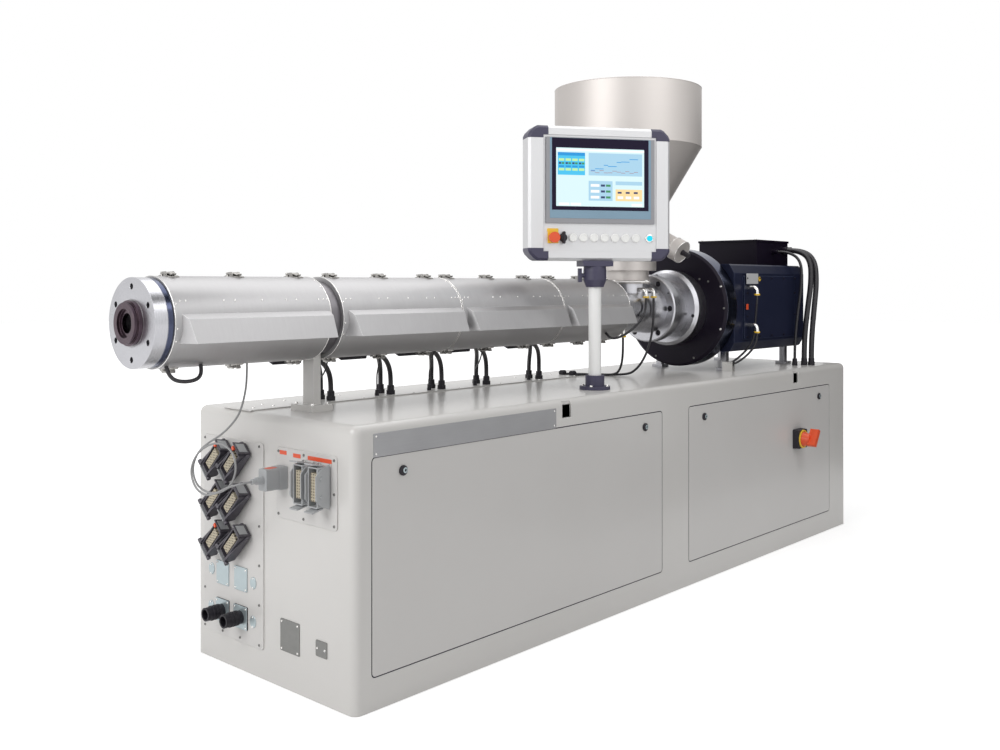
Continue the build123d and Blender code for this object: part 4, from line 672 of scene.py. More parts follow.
def soft_edge_group():
    """The normal with rounded corners, and a mask that is 1 on the corners."""
    group, given, result = new_group(
        "soft_edges",
        [("Radius", "NodeSocketFloat", 0.0015)],
        [("Normal", "NodeSocketVector"), ("Edge", "NodeSocketFloat")],
    )
    rounded = group.nodes.new("ShaderNodeBevel")
    rounded.samples = EDGE_SAMPLES
    group.links.new(given.outputs["Radius"], rounded.inputs["Radius"])
    shape = group.nodes.new("ShaderNodeNewGeometry")
    facing = group.nodes.new("ShaderNodeVectorMath")
    facing.operation = "DOT_PRODUCT"
    group.links.new(rounded.outputs["Normal"], facing.inputs[0])
    group.links.new(shape.outputs["Normal"], facing.inputs[1])
    turned = math_node(group, "SUBTRACT", 1.0, facing.outputs["Value"])
    edge = math_node(group, "MINIMUM", math_node(group, "MULTIPLY", turned, EDGE_GAIN), 1.0)
    group.links.new(rounded.outputs["Normal"], result.inputs["Normal"])
    group.links.new(edge, result.inputs["Edge"])
    return group


BLOTCHES = blotch_group()
GRAIN = grain_group()
TURNING = turning_group()
SOFT_EDGES = soft_edge_group()
print("effect groups:", [group.name for group in (BLOTCHES, GRAIN, TURNING, SOFT_EDGES)])

# %% [markdown]
# ### One recipe for most finishes
# Paint, moulded plastic, rubber and metal all start from the same four questions: how
# does the tone wander, what fine texture is in the surface, how do its edges look, and
# how rough is it? So one function builds them all, and each finish gives the answers.
# Plain numbers, such as Metallic or the coat, are set on the shader's own sockets.

# %% The recipe
BUMP_DEPTH = 0.0003


def use_group(tree, group, **values):
    """Places a shared group in a material with its own values."""
    node = tree.nodes.new("ShaderNodeGroup")
    node.node_tree = group
    for label, value in values.items():
        node.inputs[label].default_value = value
    return node


def finish_material(
    name,
    dark,
    light,
    roughness,
    metallic=0.0,
    blotch=0.12,
    texture=None,
    texture_amount=0.3,
    bump=0.0,
    edge_radius=0.0015,
    edge_highlight=None,
    coat=0.0,
    coat_roughness=0.1,
    specular=0.5,
):
    """A finish between two tones; texture is ("grain", scale) or ("turning", centre, density)."""
    material = bpy.data.materials.new(name)
    material.use_nodes = True
    tree = material.node_tree
    shader = tree.nodes["Principled BSDF"]
    shader.inputs["Metallic"].default_value = metallic
    shader.inputs["Coat Weight"].default_value = coat
    shader.inputs["Coat Roughness"].default_value = coat_roughness
    shader.inputs["Specular IOR Level"].default_value = specular
    tone = use_group(tree, BLOTCHES, Size=blotch).outputs["Mask"]
    fine = None
    if texture and texture[0] == "grain":
        fine = use_group(tree, GRAIN, Scale=texture[1]).outputs["Mask"]
    elif texture:
        fine = use_group(tree, TURNING, Centre=texture[1], Density=texture[2]).outputs["Mask"]
    mask = tone
    if fine is not None:
        share = math_node(tree, "MULTIPLY", fine, texture_amount)
        mask = math_node(tree, "ADD", math_node(tree, "MULTIPLY", tone, 1 - texture_amount), share)
    colour = mix_colours(tree, mask, dark, light)
    edges = use_group(tree, SOFT_EDGES, Radius=edge_radius)
    # Painted highlight: the edge colour lightens the corners where they would catch the light.
    if edge_highlight:
        colour = mix_colours(tree, edges.outputs["Edge"], colour, edge_highlight)
    tree.links.new(colour, shader.inputs["Base Color"])
    tree.links.new(map_range(tree, mask, roughness[0], roughness[1]), shader.inputs["Roughness"])
    if bump and fine is not None:
        relief = tree.nodes.new("ShaderNodeBump")
        relief.inputs["Strength"].default_value = bump
        relief.inputs["Distance"].default_value = BUMP_DEPTH
        tree.links.new(fine, relief.inputs["Height"])
        tree.links.new(edges.outputs["Normal"], relief.inputs["Normal"])
        tree.links.new(relief.outputs["Normal"], shader.inputs["Normal"])
    else:
        tree.links.new(edges.outputs["Normal"], shader.inputs["Normal"])
    return material


print("finish recipe ready")

# %% [markdown]
# ### Painted sheet
# The frame is welded sheet with a warm light grey powder coat. Powder melts into a
# skin with a very fine orange peel, which shows only as a slightly uneven gloss. Its
# rounded edges catch the light, and a paler edge colour paints that highlight on the
# frame and on the covers.

# %% Paints
PEEL = ("grain", (420, 420, 420))

frame_paint = finish_material(
    "warm_grey_powder_coat",
    (0.60, 0.585, 0.565),
    (0.68, 0.665, 0.645),
    (0.28, 0.40),
    blotch=0.6,
    texture=PEEL,
    bump=0.12,
    edge_radius=0.003,
    edge_highlight=(0.86, 0.85, 0.83),
    coat=0.2,
)
cover_paint = finish_material(
    "warm_grey_cover_coat",
    (0.59, 0.575, 0.56),
    (0.66, 0.645, 0.63),
    (0.30, 0.42),
    blotch=0.5,
    texture=PEEL,
    bump=0.12,
    edge_highlight=(0.86, 0.85, 0.83),
    coat=0.1,
)
pole_paint = finish_material(
    "white_pole_coat",
    (0.88, 0.88, 0.87),
    (0.94, 0.94, 0.93),
    (0.25, 0.35),
    blotch=0.2,
    texture=PEEL,
    bump=0.08,
)
black_paint = finish_material(
    "black_violet_coat",
    (0.005, 0.003, 0.009),
    (0.010, 0.006, 0.016),
    (0.30, 0.42),
    texture=PEEL,
    bump=0.12,
    specular=0.16,
)
# The motor's blue edge colour is a painted highlight along its bevels.
motor_paint = finish_material(
    "dark_blue_motor_coat",
    (0.008, 0.010, 0.028),
    (0.014, 0.018, 0.042),
    (0.30, 0.42),
    texture=PEEL,
    bump=0.12,
    edge_radius=0.002,
    edge_highlight=(0.10, 0.13, 0.22),
    specular=0.2,
)
print("paints ready")

# %% [markdown]
# ### Bare metal
# The guards are rolled from ground sheet, the hopper is fine satin stainless, and the
# feed section and flanges are turned. Grain direction tells a viewer how a part was
# made: along the belt for sheet, round the axis for lathe work.

# %% Metals
SHEET_GRAIN = ("grain", (160, 14, 14))
ROUND_THE_HOPPER = ("grain", (6, 6, 900))
BARREL_CENTRE = (0, 0, AXIS_HEIGHT)

# The pale edge colour is a painted highlight along the guards' edges.
guard_steel = finish_material(
    "brushed_guard_sheet",
    (0.34, 0.335, 0.34),
    (0.44, 0.435, 0.44),
    (0.38, 0.54),
    metallic=0.9,
    blotch=0.05,
    texture=SHEET_GRAIN,
    texture_amount=0.5,
    bump=0.2,
    edge_radius=0.0012,
    edge_highlight=(0.80, 0.80, 0.80),
)
hopper_steel = finish_material(
    "satin_stainless",
    (0.48, 0.45, 0.43),
    (0.57, 0.54, 0.52),
    (0.46, 0.58),
    metallic=0.85,
    blotch=0.35,
    texture=ROUND_THE_HOPPER,
    texture_amount=0.35,
    bump=0.15,
)
turned_steel = finish_material(
    "turned_steel",
    (0.36, 0.36, 0.39),
    (0.60, 0.60, 0.62),
    (0.20, 0.36),
    metallic=1.0,
    texture=("turning", BARREL_CENTRE, 900),
    texture_amount=0.6,
    bump=0.3,
)
blued_steel = finish_material(
    "blued_nose_steel",
    (0.040, 0.030, 0.050),
    (0.15, 0.105, 0.115),
    (0.12, 0.26),
    metallic=1.0,
    blotch=0.03,
    texture=("turning", BARREL_CENTRE, 700),
    texture_amount=0.4,
    bump=0.2,
)
barrel_steel = finish_material(
    "nitrided_barrel",
    (0.30, 0.30, 0.31),
    (0.44, 0.43, 0.44),
    (0.3, 0.45),
    metallic=1.0,
    texture=("turning", BARREL_CENTRE, 400),
    bump=0.2,
)
zinc = finish_material(
    "blue_white_zinc",
    (0.36, 0.42, 0.44),
    (0.46, 0.53, 0.55),
    (0.32, 0.46),
    metallic=0.7,
    blotch=0.02,
    texture=PEEL,
)
dull_steel = finish_material(
    "dull_grey_steel",
    (0.17, 0.17, 0.165),
    (0.25, 0.25, 0.24),
    (0.36, 0.5),
    metallic=0.8,
    blotch=0.02,
    texture=PEEL,
)
# Dark steel with a painted highlight on its edges; behind the die flange its dark tone stands in for the
# shade in the gap.
dark_steel_edge_highlight = finish_material(
    "dark_blue_steel_edge_highlight",
    (0.030, 0.034, 0.065),
    (0.10, 0.115, 0.18),
    (0.16, 0.28),
    metallic=1.0,
    texture=("turning", BARREL_CENTRE, 700),
    texture_amount=0.4,
    bump=0.2,
    edge_highlight=(0.6, 0.62, 0.66),
)
ring_steel = finish_material(
    "grey_ring_steel",
    (0.13, 0.125, 0.135),
    (0.22, 0.21, 0.22),
    (0.3, 0.45),
    metallic=1.0,
    texture=("turning", BARREL_CENTRE, 500),
    bump=0.2,
)
brushed_plate = finish_material(
    "brushed_name_plate",
    (0.30, 0.30, 0.31),
    (0.40, 0.40, 0.41),
    (0.3, 0.42),
    metallic=0.6,
    texture=("grain", (12, 400, 400)),
)
latch_steel = finish_material(
    "worn_latch_steel",
    (0.20, 0.19, 0.18),
    (0.48, 0.47, 0.45),
    (0.2, 0.32),
    metallic=1.0,
    blotch=0.008,
    texture=PEEL,
)
nickel = finish_material(
    "nickel_plate",
    (0.66, 0.65, 0.63),
    (0.80, 0.79, 0.77),
    (0.12, 0.22),
    metallic=1.0,
    blotch=0.02,
    texture=PEEL,
)
aluminium = finish_material(
    "anodised_aluminium",
    (0.62, 0.62, 0.63),
    (0.70, 0.70, 0.71),
    (0.36, 0.46),
    metallic=0.35,
    blotch=0.3,
    texture=("grain", (300, 300, 20)),
    bump=0.06,
)
print("metals ready")

# %% [markdown]
# ### Plastic and rubber
# Connector bodies and knobs are matte moulded plastic with a fine spark-eroded
# texture. Cable jackets are smoother and a little glossy. They differ only in tone and
# gloss, so a short function fills in the rest of the recipe.

# %% Plastics
MOULD_TEXTURE = ("grain", (900, 900, 900))


def plastic(name, dark, light, roughness=(0.42, 0.55), **more):
    """A moulded finish between two tones."""
    return finish_material(name, dark, light, roughness, texture=MOULD_TEXTURE, bump=0.15, **more)


def glossier(name, dark, light, **more):
    """A moulded finish from a polished mould."""
    return plastic(name, dark, light, roughness=(0.3, 0.4), **more)


black_plastic = plastic("black_moulding", (0.010, 0.009, 0.013), (0.024, 0.021, 0.028), specular=0.3)
socket_casting = plastic(
    "dark_violet_grey_casting", (0.045, 0.040, 0.052), (0.085, 0.078, 0.095), roughness=(0.35, 0.5)
)
violet_plastic = plastic("dark_violet_moulding", (0.035, 0.032, 0.065), (0.055, 0.05, 0.095))
grey_plastic = plastic("light_grey_moulding", (0.36, 0.37, 0.38), (0.46, 0.47, 0.48))
white_plastic = plastic("white_cap", (0.90, 0.90, 0.88), (0.96, 0.96, 0.94), roughness=(0.25, 0.32))
red_plastic = glossier("orange_red_moulding", (0.74, 0.075, 0.018), (0.86, 0.11, 0.03))
yellow_plastic = glossier("yellow_moulding", (0.88, 0.54, 0.03), (0.96, 0.64, 0.05))
screen_front = plastic(
    "black_screen_front", (0.010, 0.006, 0.022), (0.014, 0.008, 0.030), roughness=(0.3, 0.36), specular=0.1
)
cable_jacket = plastic(
    "black_cable_jacket", (0.008, 0.007, 0.010), (0.018, 0.016, 0.020), roughness=(0.35, 0.5)
)
sensor_jacket = plastic("grey_cable_jacket", (0.24, 0.24, 0.245), (0.32, 0.32, 0.32), roughness=(0.4, 0.5))
# Dark fill for the joints between guards, and painted shade in the gaps round the covers.
joint_and_gap_shade = plastic(
    "black_violet_joint_and_gap_shade", (0.010, 0.007, 0.016), (0.018, 0.013, 0.028), roughness=(0.5, 0.65)
)
rim_grey = plastic("warm_grey_rim", (0.30, 0.30, 0.32), (0.34, 0.34, 0.36))
band_blue = glossier("blue_grey_band", (0.20, 0.32, 0.42), (0.24, 0.37, 0.48))
print("plastics ready")

# %% [markdown]
# ### Contact inserts
# The open connectors show cream inserts with rows of contact holes. The holes are far
# too many and too small for a mesh, so a group marks them: it cuts the plane into
# squares and gives 1 near the middle of each. The finish turns dark where the mask is 1,
# as painted shade in place of each hole's depth.

# %% Contact holes
CONTACT_PITCH = 0.0082
HOLE_REACH = 0.27
# Painted shade inside a contact hole.
HOLE_SHADE = (0.05, 0.035, 0.03)


def contact_group():
    """A grid of contact holes across Y and Z; the mask is 1 in a hole."""
    group, given, result = new_group(
        "contact_holes", [("Pitch", "NodeSocketFloat", CONTACT_PITCH)], [("Mask", "NodeSocketFloat")]
    )
    place = group.nodes.new("ShaderNodeTexCoord")
    split = group.nodes.new("ShaderNodeSeparateXYZ")
    group.links.new(place.outputs["Object"], split.inputs["Vector"])
    squares = []
    for way in ("Y", "Z"):
        steps = math_node(group, "DIVIDE", split.outputs[way], given.outputs["Pitch"])
        offset = math_node(group, "SUBTRACT", math_node(group, "FRACT", steps), 0.5)
        squares.append(math_node(group, "MULTIPLY", offset, offset))
    reach = math_node(group, "SQRT", math_node(group, "ADD", squares[0], squares[1]))
    hole = math_node(group, "LESS_THAN", reach, HOLE_REACH)
    group.links.new(hole, result.inputs["Mask"])
    return group


cream_plastic = plastic("cream_contact_insert", (0.42, 0.37, 0.27), (0.52, 0.46, 0.34))
insert_tree = cream_plastic.node_tree
insert_colour = insert_tree.nodes["Principled BSDF"].inputs["Base Color"]
cream = insert_colour.links[0].from_socket
holes = use_group(insert_tree, contact_group()).outputs["Mask"]
insert_tree.links.new(mix_colours(insert_tree, holes, cream, HOLE_SHADE), insert_colour)
print("contact holes every", round(CONTACT_PITCH * 1000, 1), "mm")

# %% [markdown]
# ### What glows
# A lit picture or lamp sends out light of its own, so its tone is set as emission. A
# strength of one shows the colour as it is written.

# %% Lit colours
LIT_COLOURS = {
    "pale": (0.72, 0.93, 0.96),
    "white": (1.0, 1.0, 1.0),
    "sky": (0.05, 0.55, 0.88),
    "deep": (0.0, 0.30, 0.72),
    "mist": (0.40, 0.66, 0.84),
    "green": (0.55, 0.90, 0.40),
    "leaf": (0.04, 0.28, 0.10),
    "ink": (0.02, 0.04, 0.14),
    "amber": (1.0, 0.74, 0.36),
    "rust": (0.40, 0.12, 0.12),
    "lens": (0.0, 0.72, 0.92),
}


def lit_material(colour, tint):
    """A dark surface that glows in one tint."""
    material = bpy.data.materials.new(f"lit_{colour}")
    material.use_nodes = True
    shader = material.node_tree.nodes["Principled BSDF"]
    shader.inputs["Base Color"].default_value = (0.02, 0.02, 0.02, 1)
    shader.inputs["Roughness"].default_value = 0.3
    shader.inputs["Specular IOR Level"].default_value = 0.2
    shader.inputs["Emission Color"].default_value = (*tint, 1)
    shader.inputs["Emission Strength"].default_value = 1
    return material


lit = {colour: lit_material(colour, tint) for colour, tint in LIT_COLOURS.items()}
print("lit colours:", ", ".join(lit))

# %% [markdown]
# ### Which solid has which finish
# The record that comes with the frame names a material slot for every solid. One table
# turns those slots into the finishes above. A frame solid keeps its mesh and only gets
# its material slots filled.

# %% Give the solids their finishes
FINISH_OF_SLOT = {
    "frame_paint": frame_paint,
    "cover_paint": cover_paint,
    "pole_paint": pole_paint,
    "black_paint": black_paint,
    "motor_paint": motor_paint,
    "guard_steel": guard_steel,
    "stainless": hopper_steel,
    "machined_steel": turned_steel,
    "blued_steel": blued_steel,
    "barrel_steel": barrel_steel,
    "zinc": zinc,
    "nickel": nickel,
    "panel_aluminium": aluminium,
    "black_plastic": black_plastic,
    "violet_plastic": violet_plastic,
    "grey_plastic": grey_plastic,
    "cream_plastic": cream_plastic,
    "white_plastic": white_plastic,
    "red_plastic": red_plastic,
    "yellow_plastic": yellow_plastic,
    "screen_glass": screen_front,
    "cable_jacket": cable_jacket,
    "sensor_jacket": sensor_jacket,
}


def paint(piece, material):
    """Gives every face of a mesh or curve one material."""
    piece.data.materials.clear()
    piece.data.materials.append(material)


for subpart in frame["record"]["subparts"]:
    paint(nodes[subpart["node"]], FINISH_OF_SLOT[subpart["material_slot"]])
paint(nodes["support_ring"], ring_steel)
for piece in bpy.context.scene.objects:
    if piece.type == "CURVE":
        paint(piece, cable_jacket)
paint(sensor_cable, sensor_jacket)

# %% [markdown]
# ## Small pieces
# Screws, plates and caps are too small to be worth a CAD solid, but a close look misses
# them. Most are a stack of outlines with the same number of points, and joining each
# outline to the next gives the walls. BMesh is Blender's tool for that: `verts.new` and
# `faces.new` add to a mesh in memory, and `to_mesh` writes it into an object.

# %% Outlines with the same number of points
RING_POINTS = 24
SHARP_ANGLE = 35


def round_ring(radius, height, stretch=1.0):
    """A circle of points at a height; stretch makes it an oval."""
    turns = [2 * pi * i / RING_POINTS for i in range(RING_POINTS)]
    return [(radius * cos(turn), radius * stretch * sin(turn), height) for turn in turns]


def hexagon_ring(radius, height):
    """Points along a hexagon whose corners lie on the radius."""
    points = []
    for i in range(RING_POINTS):
        turn = 2 * pi * i / RING_POINTS
        reach = radius * cos(pi / 6) / cos(turn % (pi / 3) - pi / 6)
        points.append((reach * cos(turn), reach * sin(turn), height))
    return points


def box_ring(width, depth, corner, height):
    """Points along a rectangle with round corners."""
    points = []
    for quarter in range(4):
        middle_x = (width / 2 - corner) * (1 if quarter in (0, 3) else -1)
        middle_y = (depth / 2 - corner) * (1 if quarter in (0, 1) else -1)
        for i in range(RING_POINTS // 4):
            turn = pi / 2 * (quarter + i / (RING_POINTS // 4 - 1))
            points.append((middle_x + corner * cos(turn), middle_y + corner * sin(turn), height))
    return points


print("outlines of", RING_POINTS, "points")

# %% [markdown]
# `loft` joins the outlines, and either caps both ends or closes the last to the first,
# which makes a picture frame. `facing` is a matrix that carries a piece drawn upright at
# the origin to its place on a wall. `add_piece` makes the object and lets it ride on the
# body that it is screwed to.

# %% Joining, placing and adding
LEFT = (-1, 0, 0)
FRONT = (0, -1, 0)
REAR = (0, 1, 0)
UP = (0, 0, 1)
SUNK = -0.0004


def loft(mesh, rings, place=Matrix(), closed=False):
    """One solid through the rings, with capped ends or closed into a frame."""
    rows = [[mesh.verts.new(place @ Vector(point)) for point in ring] for ring in rings]
    pairs = list(zip(rows, rows[1:]))
    if closed:
        pairs.append((rows[-1], rows[0]))
    for below, above in pairs:
        for i in range(len(below)):
            after = (i + 1) % len(below)
            mesh.faces.new((below[i], below[after], above[after], above[i]))
    if not closed:
        mesh.faces.new(rows[0][::-1])
        mesh.faces.new(rows[-1])


def facing(place, normal, spin=0):
    """Carries local Z to the normal; on a wall local Y stays upright before the spin."""
    turn = Vector(normal).to_track_quat("Z", "Y").to_matrix().to_4x4()
    return Matrix.Translation(place) @ turn @ Matrix.Rotation(radians(spin), 4, "Z")


def add_piece(name, mesh, material, body="machine"):
    """Makes the object from the mesh in memory, with smooth faces and sharp corners."""
    bmesh.ops.recalc_face_normals(mesh, faces=mesh.faces)
    data = bpy.data.meshes.new(name)
    mesh.to_mesh(data)
    mesh.free()
    data.shade_smooth()
    data.set_sharp_from_angle(angle=radians(SHARP_ANGLE))
    data.materials.append(material)
    piece = bpy.data.objects.new(name, data)
    bpy.context.scene.collection.objects.link(piece)
    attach(piece, body)
    return piece


print("loft, facing and add_piece ready")

# %% [markdown]
# The same few shapes come back all over the machine: a small turned piece, a button-head
# screw with its hexagon socket, a hexagon bolt on a washer, a plate with a fine chamfer,
# a bar and a rod. A screw's sizes are shares of its radius and height, so one function
# serves every size. `shifted` steps and tilts a place in its own frame.

# %% Screws, bolts, plates and rods
HEAD_WALL = 0.45
HEAD_CROWN = 0.8
SOCKET_REACH = 0.52
SOCKET_FLOOR = 0.3
WASHER_REACH = 1.35
WASHER_THICK = 0.18
BOLT_WALL = 0.88
BOLT_CROWN = 0.84
SPIN_STEP = 17


def turned(mesh, profile, place=Matrix(), closed=False):
    """A small turned piece from (radius, height) points."""
    loft(mesh, [round_ring(radius, height) for radius, height in profile], place, closed)


def add_screw(mesh, place, radius, height):
    """A button head with a hexagon socket."""
    rings = [round_ring(radius, SUNK), round_ring(radius, height * HEAD_WALL)]
    rings += [round_ring(radius * HEAD_CROWN, height), hexagon_ring(radius * SOCKET_REACH, height)]
    rings += [hexagon_ring(radius * SOCKET_REACH, height * SOCKET_FLOOR)]
    loft(mesh, rings, place)


def add_bolt(mesh, place, radius, height):
    """A hexagon head on a washer."""
    washer = height * WASHER_THICK
    rings = [round_ring(radius * WASHER_REACH, SUNK), round_ring(radius * WASHER_REACH, washer)]
    rings += [hexagon_ring(radius, washer), hexagon_ring(radius, height * BOLT_WALL)]
    rings += [round_ring(radius * BOLT_CROWN, height)]
    loft(mesh, rings, place)


def add_plate(mesh, place, width, depth, thick, corner=0.002, edge=0.0004):
    """A plate with round corners and a chamfer along its upper edge."""
    rings = [box_ring(width, depth, corner, SUNK), box_ring(width, depth, corner, thick - edge)]
    rings += [box_ring(width - 2 * edge, depth - 2 * edge, corner, thick)]
    loft(mesh, rings, place)


def add_bar(mesh, place, outline, low, high):
    """A straight bar between two heights; its outline is (width, depth, corner)."""
    loft(mesh, [box_ring(*outline, low), box_ring(*outline, high)], place)


def add_rod(mesh, start, end, radius):
    """A round rod between two points."""
    reach = Vector(end) - Vector(start)
    turn = reach.to_track_quat("Z", "Y").to_matrix().to_4x4()
    turned(mesh, [(radius, 0), (radius, reach.length)], Matrix.Translation(start) @ turn)


def add_frame(mesh, place, outer, inner, low, high):
    """A flat frame between two outlines given as (width, depth, corner)."""
    rings = [box_ring(*outer, low), box_ring(*outer, high), box_ring(*inner, high), box_ring(*inner, low)]
    loft(mesh, rings, place, closed=True)


def shifted(place, step, tilt=0, about="X"):
    """The place moved by a step in its own frame, then tilted by some degrees."""
    return place @ Matrix.Translation(step) @ Matrix.Rotation(radians(tilt), 4, about)


def screws(name, places, normal, radius=0.004, height=0.0022, material=nickel):
    """One object with a screw at every place, each turned a little further than the last."""
    mesh = bmesh.new()
    for count, place in enumerate(places):
        add_screw(mesh, facing(place, normal, SPIN_STEP * count), radius, height)
    return add_piece(name, mesh, material)


print("fasteners ready")

# %% [markdown]
# Hoops, weld beads and the rims of the big discs are rings too wide for the few corners
# of a screw. They are turned from a closed profile of radius and height with four times
# as many corners.

# %% Wide rings
WIDE_POINTS = 4 * RING_POINTS
BEAD_POINTS = 8


def add_wide_ring(mesh, profile, place):
    """A closed ring turned from (radius, height) points."""
    turns = [2 * pi * i / WIDE_POINTS for i in range(WIDE_POINTS)]
    rings = []
    for radius, height in profile:
        rings.append([(radius * cos(turn), radius * sin(turn), height) for turn in turns])
    loft(mesh, rings, place, closed=True)


def bead(radius, height, thick):
    """Points round the section of a bead that lies on a radius."""
    turns = [2 * pi * i / BEAD_POINTS for i in range(BEAD_POINTS)]
    return [(radius + thick * cos(turn), height + thick * sin(turn)) for turn in turns]


print("wide rings have", WIDE_POINTS, "corners")

# %% [markdown]
# ### The end wall
# The connector panel and the small signal plate are held by rows of screws. Bare zinc
# plates close the spare cut-outs, and small oval lids sit between them. All places are
# pairs of Y and Z on the wall's face.

# %% Screws and plates of the end wall
PANEL_FACE = -1.604
WALL_FACE = -1.6
POWER_SCREWS = [(0.047, z) for z in (0.101, 0.223, 0.344, 0.465, 0.709)]
POWER_SCREWS += [(0.347, z) for z in (0.101, 0.223, 0.344, 0.465, 0.587, 0.709)]
POWER_SCREWS += [(0.149, 0.102), (0.245, 0.102), (0.149, 0.709)]
SIGNAL_SCREWS = [(-0.052, 0.707), (-0.175, 0.707), (-0.315, 0.707)]
SIGNAL_SCREWS += [(-0.315, 0.611), (-0.174, 0.520), (-0.052, 0.520), (-0.315, 0.520)]
OVAL_LIDS = ((0.307, 0.2895), (0.0775, 0.2855), (0.3095, 0.168), (0.0785, 0.166))
LID_PROFILE = ((0.0155, SUNK), (0.0155, 0.0016), (0.0145, 0.0026))
LID_STRETCH = 1.22
LID_SCREW_STEP = 0.0145
SOCKET_COLUMNS = (0.243, 0.143)
ROUND_SOCKET_Z = 0.168
BLANKING_Z = 0.287
SQUARE_SIDE = 0.072
SQUARE_THICK = 0.0008
FLANGE_THICK = 0.004
SQUARE_STEP = 0.029

wall_places = [(PANEL_FACE, y, z) for y, z in POWER_SCREWS + SIGNAL_SCREWS]
screws("end_wall_screws", wall_places, LEFT, 0.0042, 0.0024, dull_steel)

lids = bmesh.new()
lid_screws = []
for y, z in OVAL_LIDS:
    rings = [round_ring(radius, height, LID_STRETCH) for radius, height in LID_PROFILE]
    loft(lids, rings, facing((PANEL_FACE, y, z), LEFT))
    top = PANEL_FACE - LID_PROFILE[-1][1]
    lid_screws += [(top, y, z + LID_SCREW_STEP), (top, y, z - LID_SCREW_STEP)]
for y in SOCKET_COLUMNS:
    square = facing((PANEL_FACE - FLANGE_THICK, y, ROUND_SOCKET_Z), LEFT)
    add_plate(lids, square, SQUARE_SIDE, SQUARE_SIDE, SQUARE_THICK)
    for up in (SQUARE_STEP, -SQUARE_STEP):
        for aside in (SQUARE_STEP, -SQUARE_STEP):
            on_square = PANEL_FACE - FLANGE_THICK - SQUARE_THICK
            lid_screws.append((on_square, y + aside, ROUND_SOCKET_Z + up))
            lid_screws.append((PANEL_FACE - 0.003, y + aside * 0.95, BLANKING_Z + up * 1.05))
add_piece("end_wall_lids", lids, zinc)
screws("lid_screws", lid_screws, LEFT, 0.0032, 0.0018)
print("end wall:", len(wall_places) + len(lid_screws), "screws")

# %% [markdown]
# Two more lids of dull sheet lie on the bare wall below the signal plate, a larger one
# with four screws and a smaller one with two.

# %% Bare lids on the wall
WALL_LIDS = ((-0.1045, 0.160, 0.093, 0.096), (-0.2535, 0.1585, 0.051, 0.047))
WALL_LID_THICK = 0.0025
WALL_LID_SCREWS = [(y, z) for z in (0.2, 0.12) for y in (-0.066, -0.143)] + [(-0.236, 0.159), (-0.271, 0.159)]

wall_lids = bmesh.new()
for y, z, width, height in WALL_LIDS:
    add_plate(wall_lids, facing((WALL_FACE, y, z), LEFT), width, height, WALL_LID_THICK, 0.004)
add_piece("bare_wall_lids", wall_lids, dull_steel)
wall_lid_places = [(WALL_FACE - WALL_LID_THICK, y, z) for y, z in WALL_LID_SCREWS]
screws("wall_lid_screws", wall_lid_places, LEFT, 0.0035, 0.002)
print("bare lids:", len(WALL_LIDS))

# %% [markdown]
# ### Power connectors
# An open power connector is a cast housing round its contact insert. A locking lever
# lies over it: two curved cheeks against the long sides, held by pins at the lower end,
# and a light bar across. A hood flap leans away from the upper end and carries a light
# label. Some housings have a red coding flag. The CAD solid has plainer forms, so the
# casting replaces it. Each connector is drawn in its own frame, which `facing` spins by
# 45 degrees on the wall: X across, Y along and Z out of the wall.

# %% One power connector
SOCKET_SPIN = -45
SOCKET_DEPTH = 0.044
SOCKET_OUTER = (0.044, 0.108, 0.005)
SOCKET_INNER = (0.0365, 0.100, 0.003)
CHEEK_OUTLINE = [(-0.060, 0.008), (-0.066, 0.034), (-0.060, 0.048), (-0.044, 0.050)]
CHEEK_OUTLINE += [(0.030, 0.032), (0.062, 0.018), (0.060, 0.008)]
CHEEK_SPANS = ((-0.0275, -0.0228), (0.0228, 0.0275))
PIN_SPANS = ((-0.041, -0.0275), (0.0275, 0.036))
PIN_PLACE = (-0.060, 0.041)
PIN_RADIUS = 0.0068
FLAP_LEAN = -14


def add_power_connector(castings, light_parts, place):
    """Housing, lever and flap go to the castings, the bar, label and studs to the light parts."""
    add_frame(castings, place, SOCKET_OUTER, SOCKET_INNER, 0, SOCKET_DEPTH)
    add_plate(castings, place, 0.038, 0.102, 0.018)
    for span in CHEEK_SPANS:
        loft(castings, [[(x, along, out) for along, out in CHEEK_OUTLINE] for x in span], place)
    for span in PIN_SPANS:
        start, end = [place @ Vector((x, *PIN_PLACE)) for x in span]
        add_rod(castings, start, end, PIN_RADIUS)
    add_bar(light_parts, shifted(place, (0, -0.0635, 0)), (0.046, 0.0028, 0.001), 0.026, 0.047)
    flap = shifted(place, (0, 0.0585, 0.004), FLAP_LEAN)
    add_bar(castings, flap, (0.044, 0.0035, 0.001), 0, 0.052)
    add_bar(light_parts, shifted(flap, (0, 0.0021, 0)), (0.032, 0.001, 0.0004), 0.012, 0.046)
    for along in (0.041, -0.041):
        stud = facing(place @ Vector((0, along, 0.018)), LEFT)
        turned(light_parts, [(0.004, SUNK), (0.004, 0.016)], stud)


print("one power connector is", SOCKET_OUTER[1] * 1000, "mm long")

# %% [markdown]
# Six connectors stand in two columns and three rows, so the function above runs six
# times and each colour stays one mesh.

# %% Power connectors on the wall
SOCKET_ROWS = (0.656, 0.530, 0.404)
FLAGGED = ((0.243, 0.656), (0.143, 0.656), (0.243, 0.404))

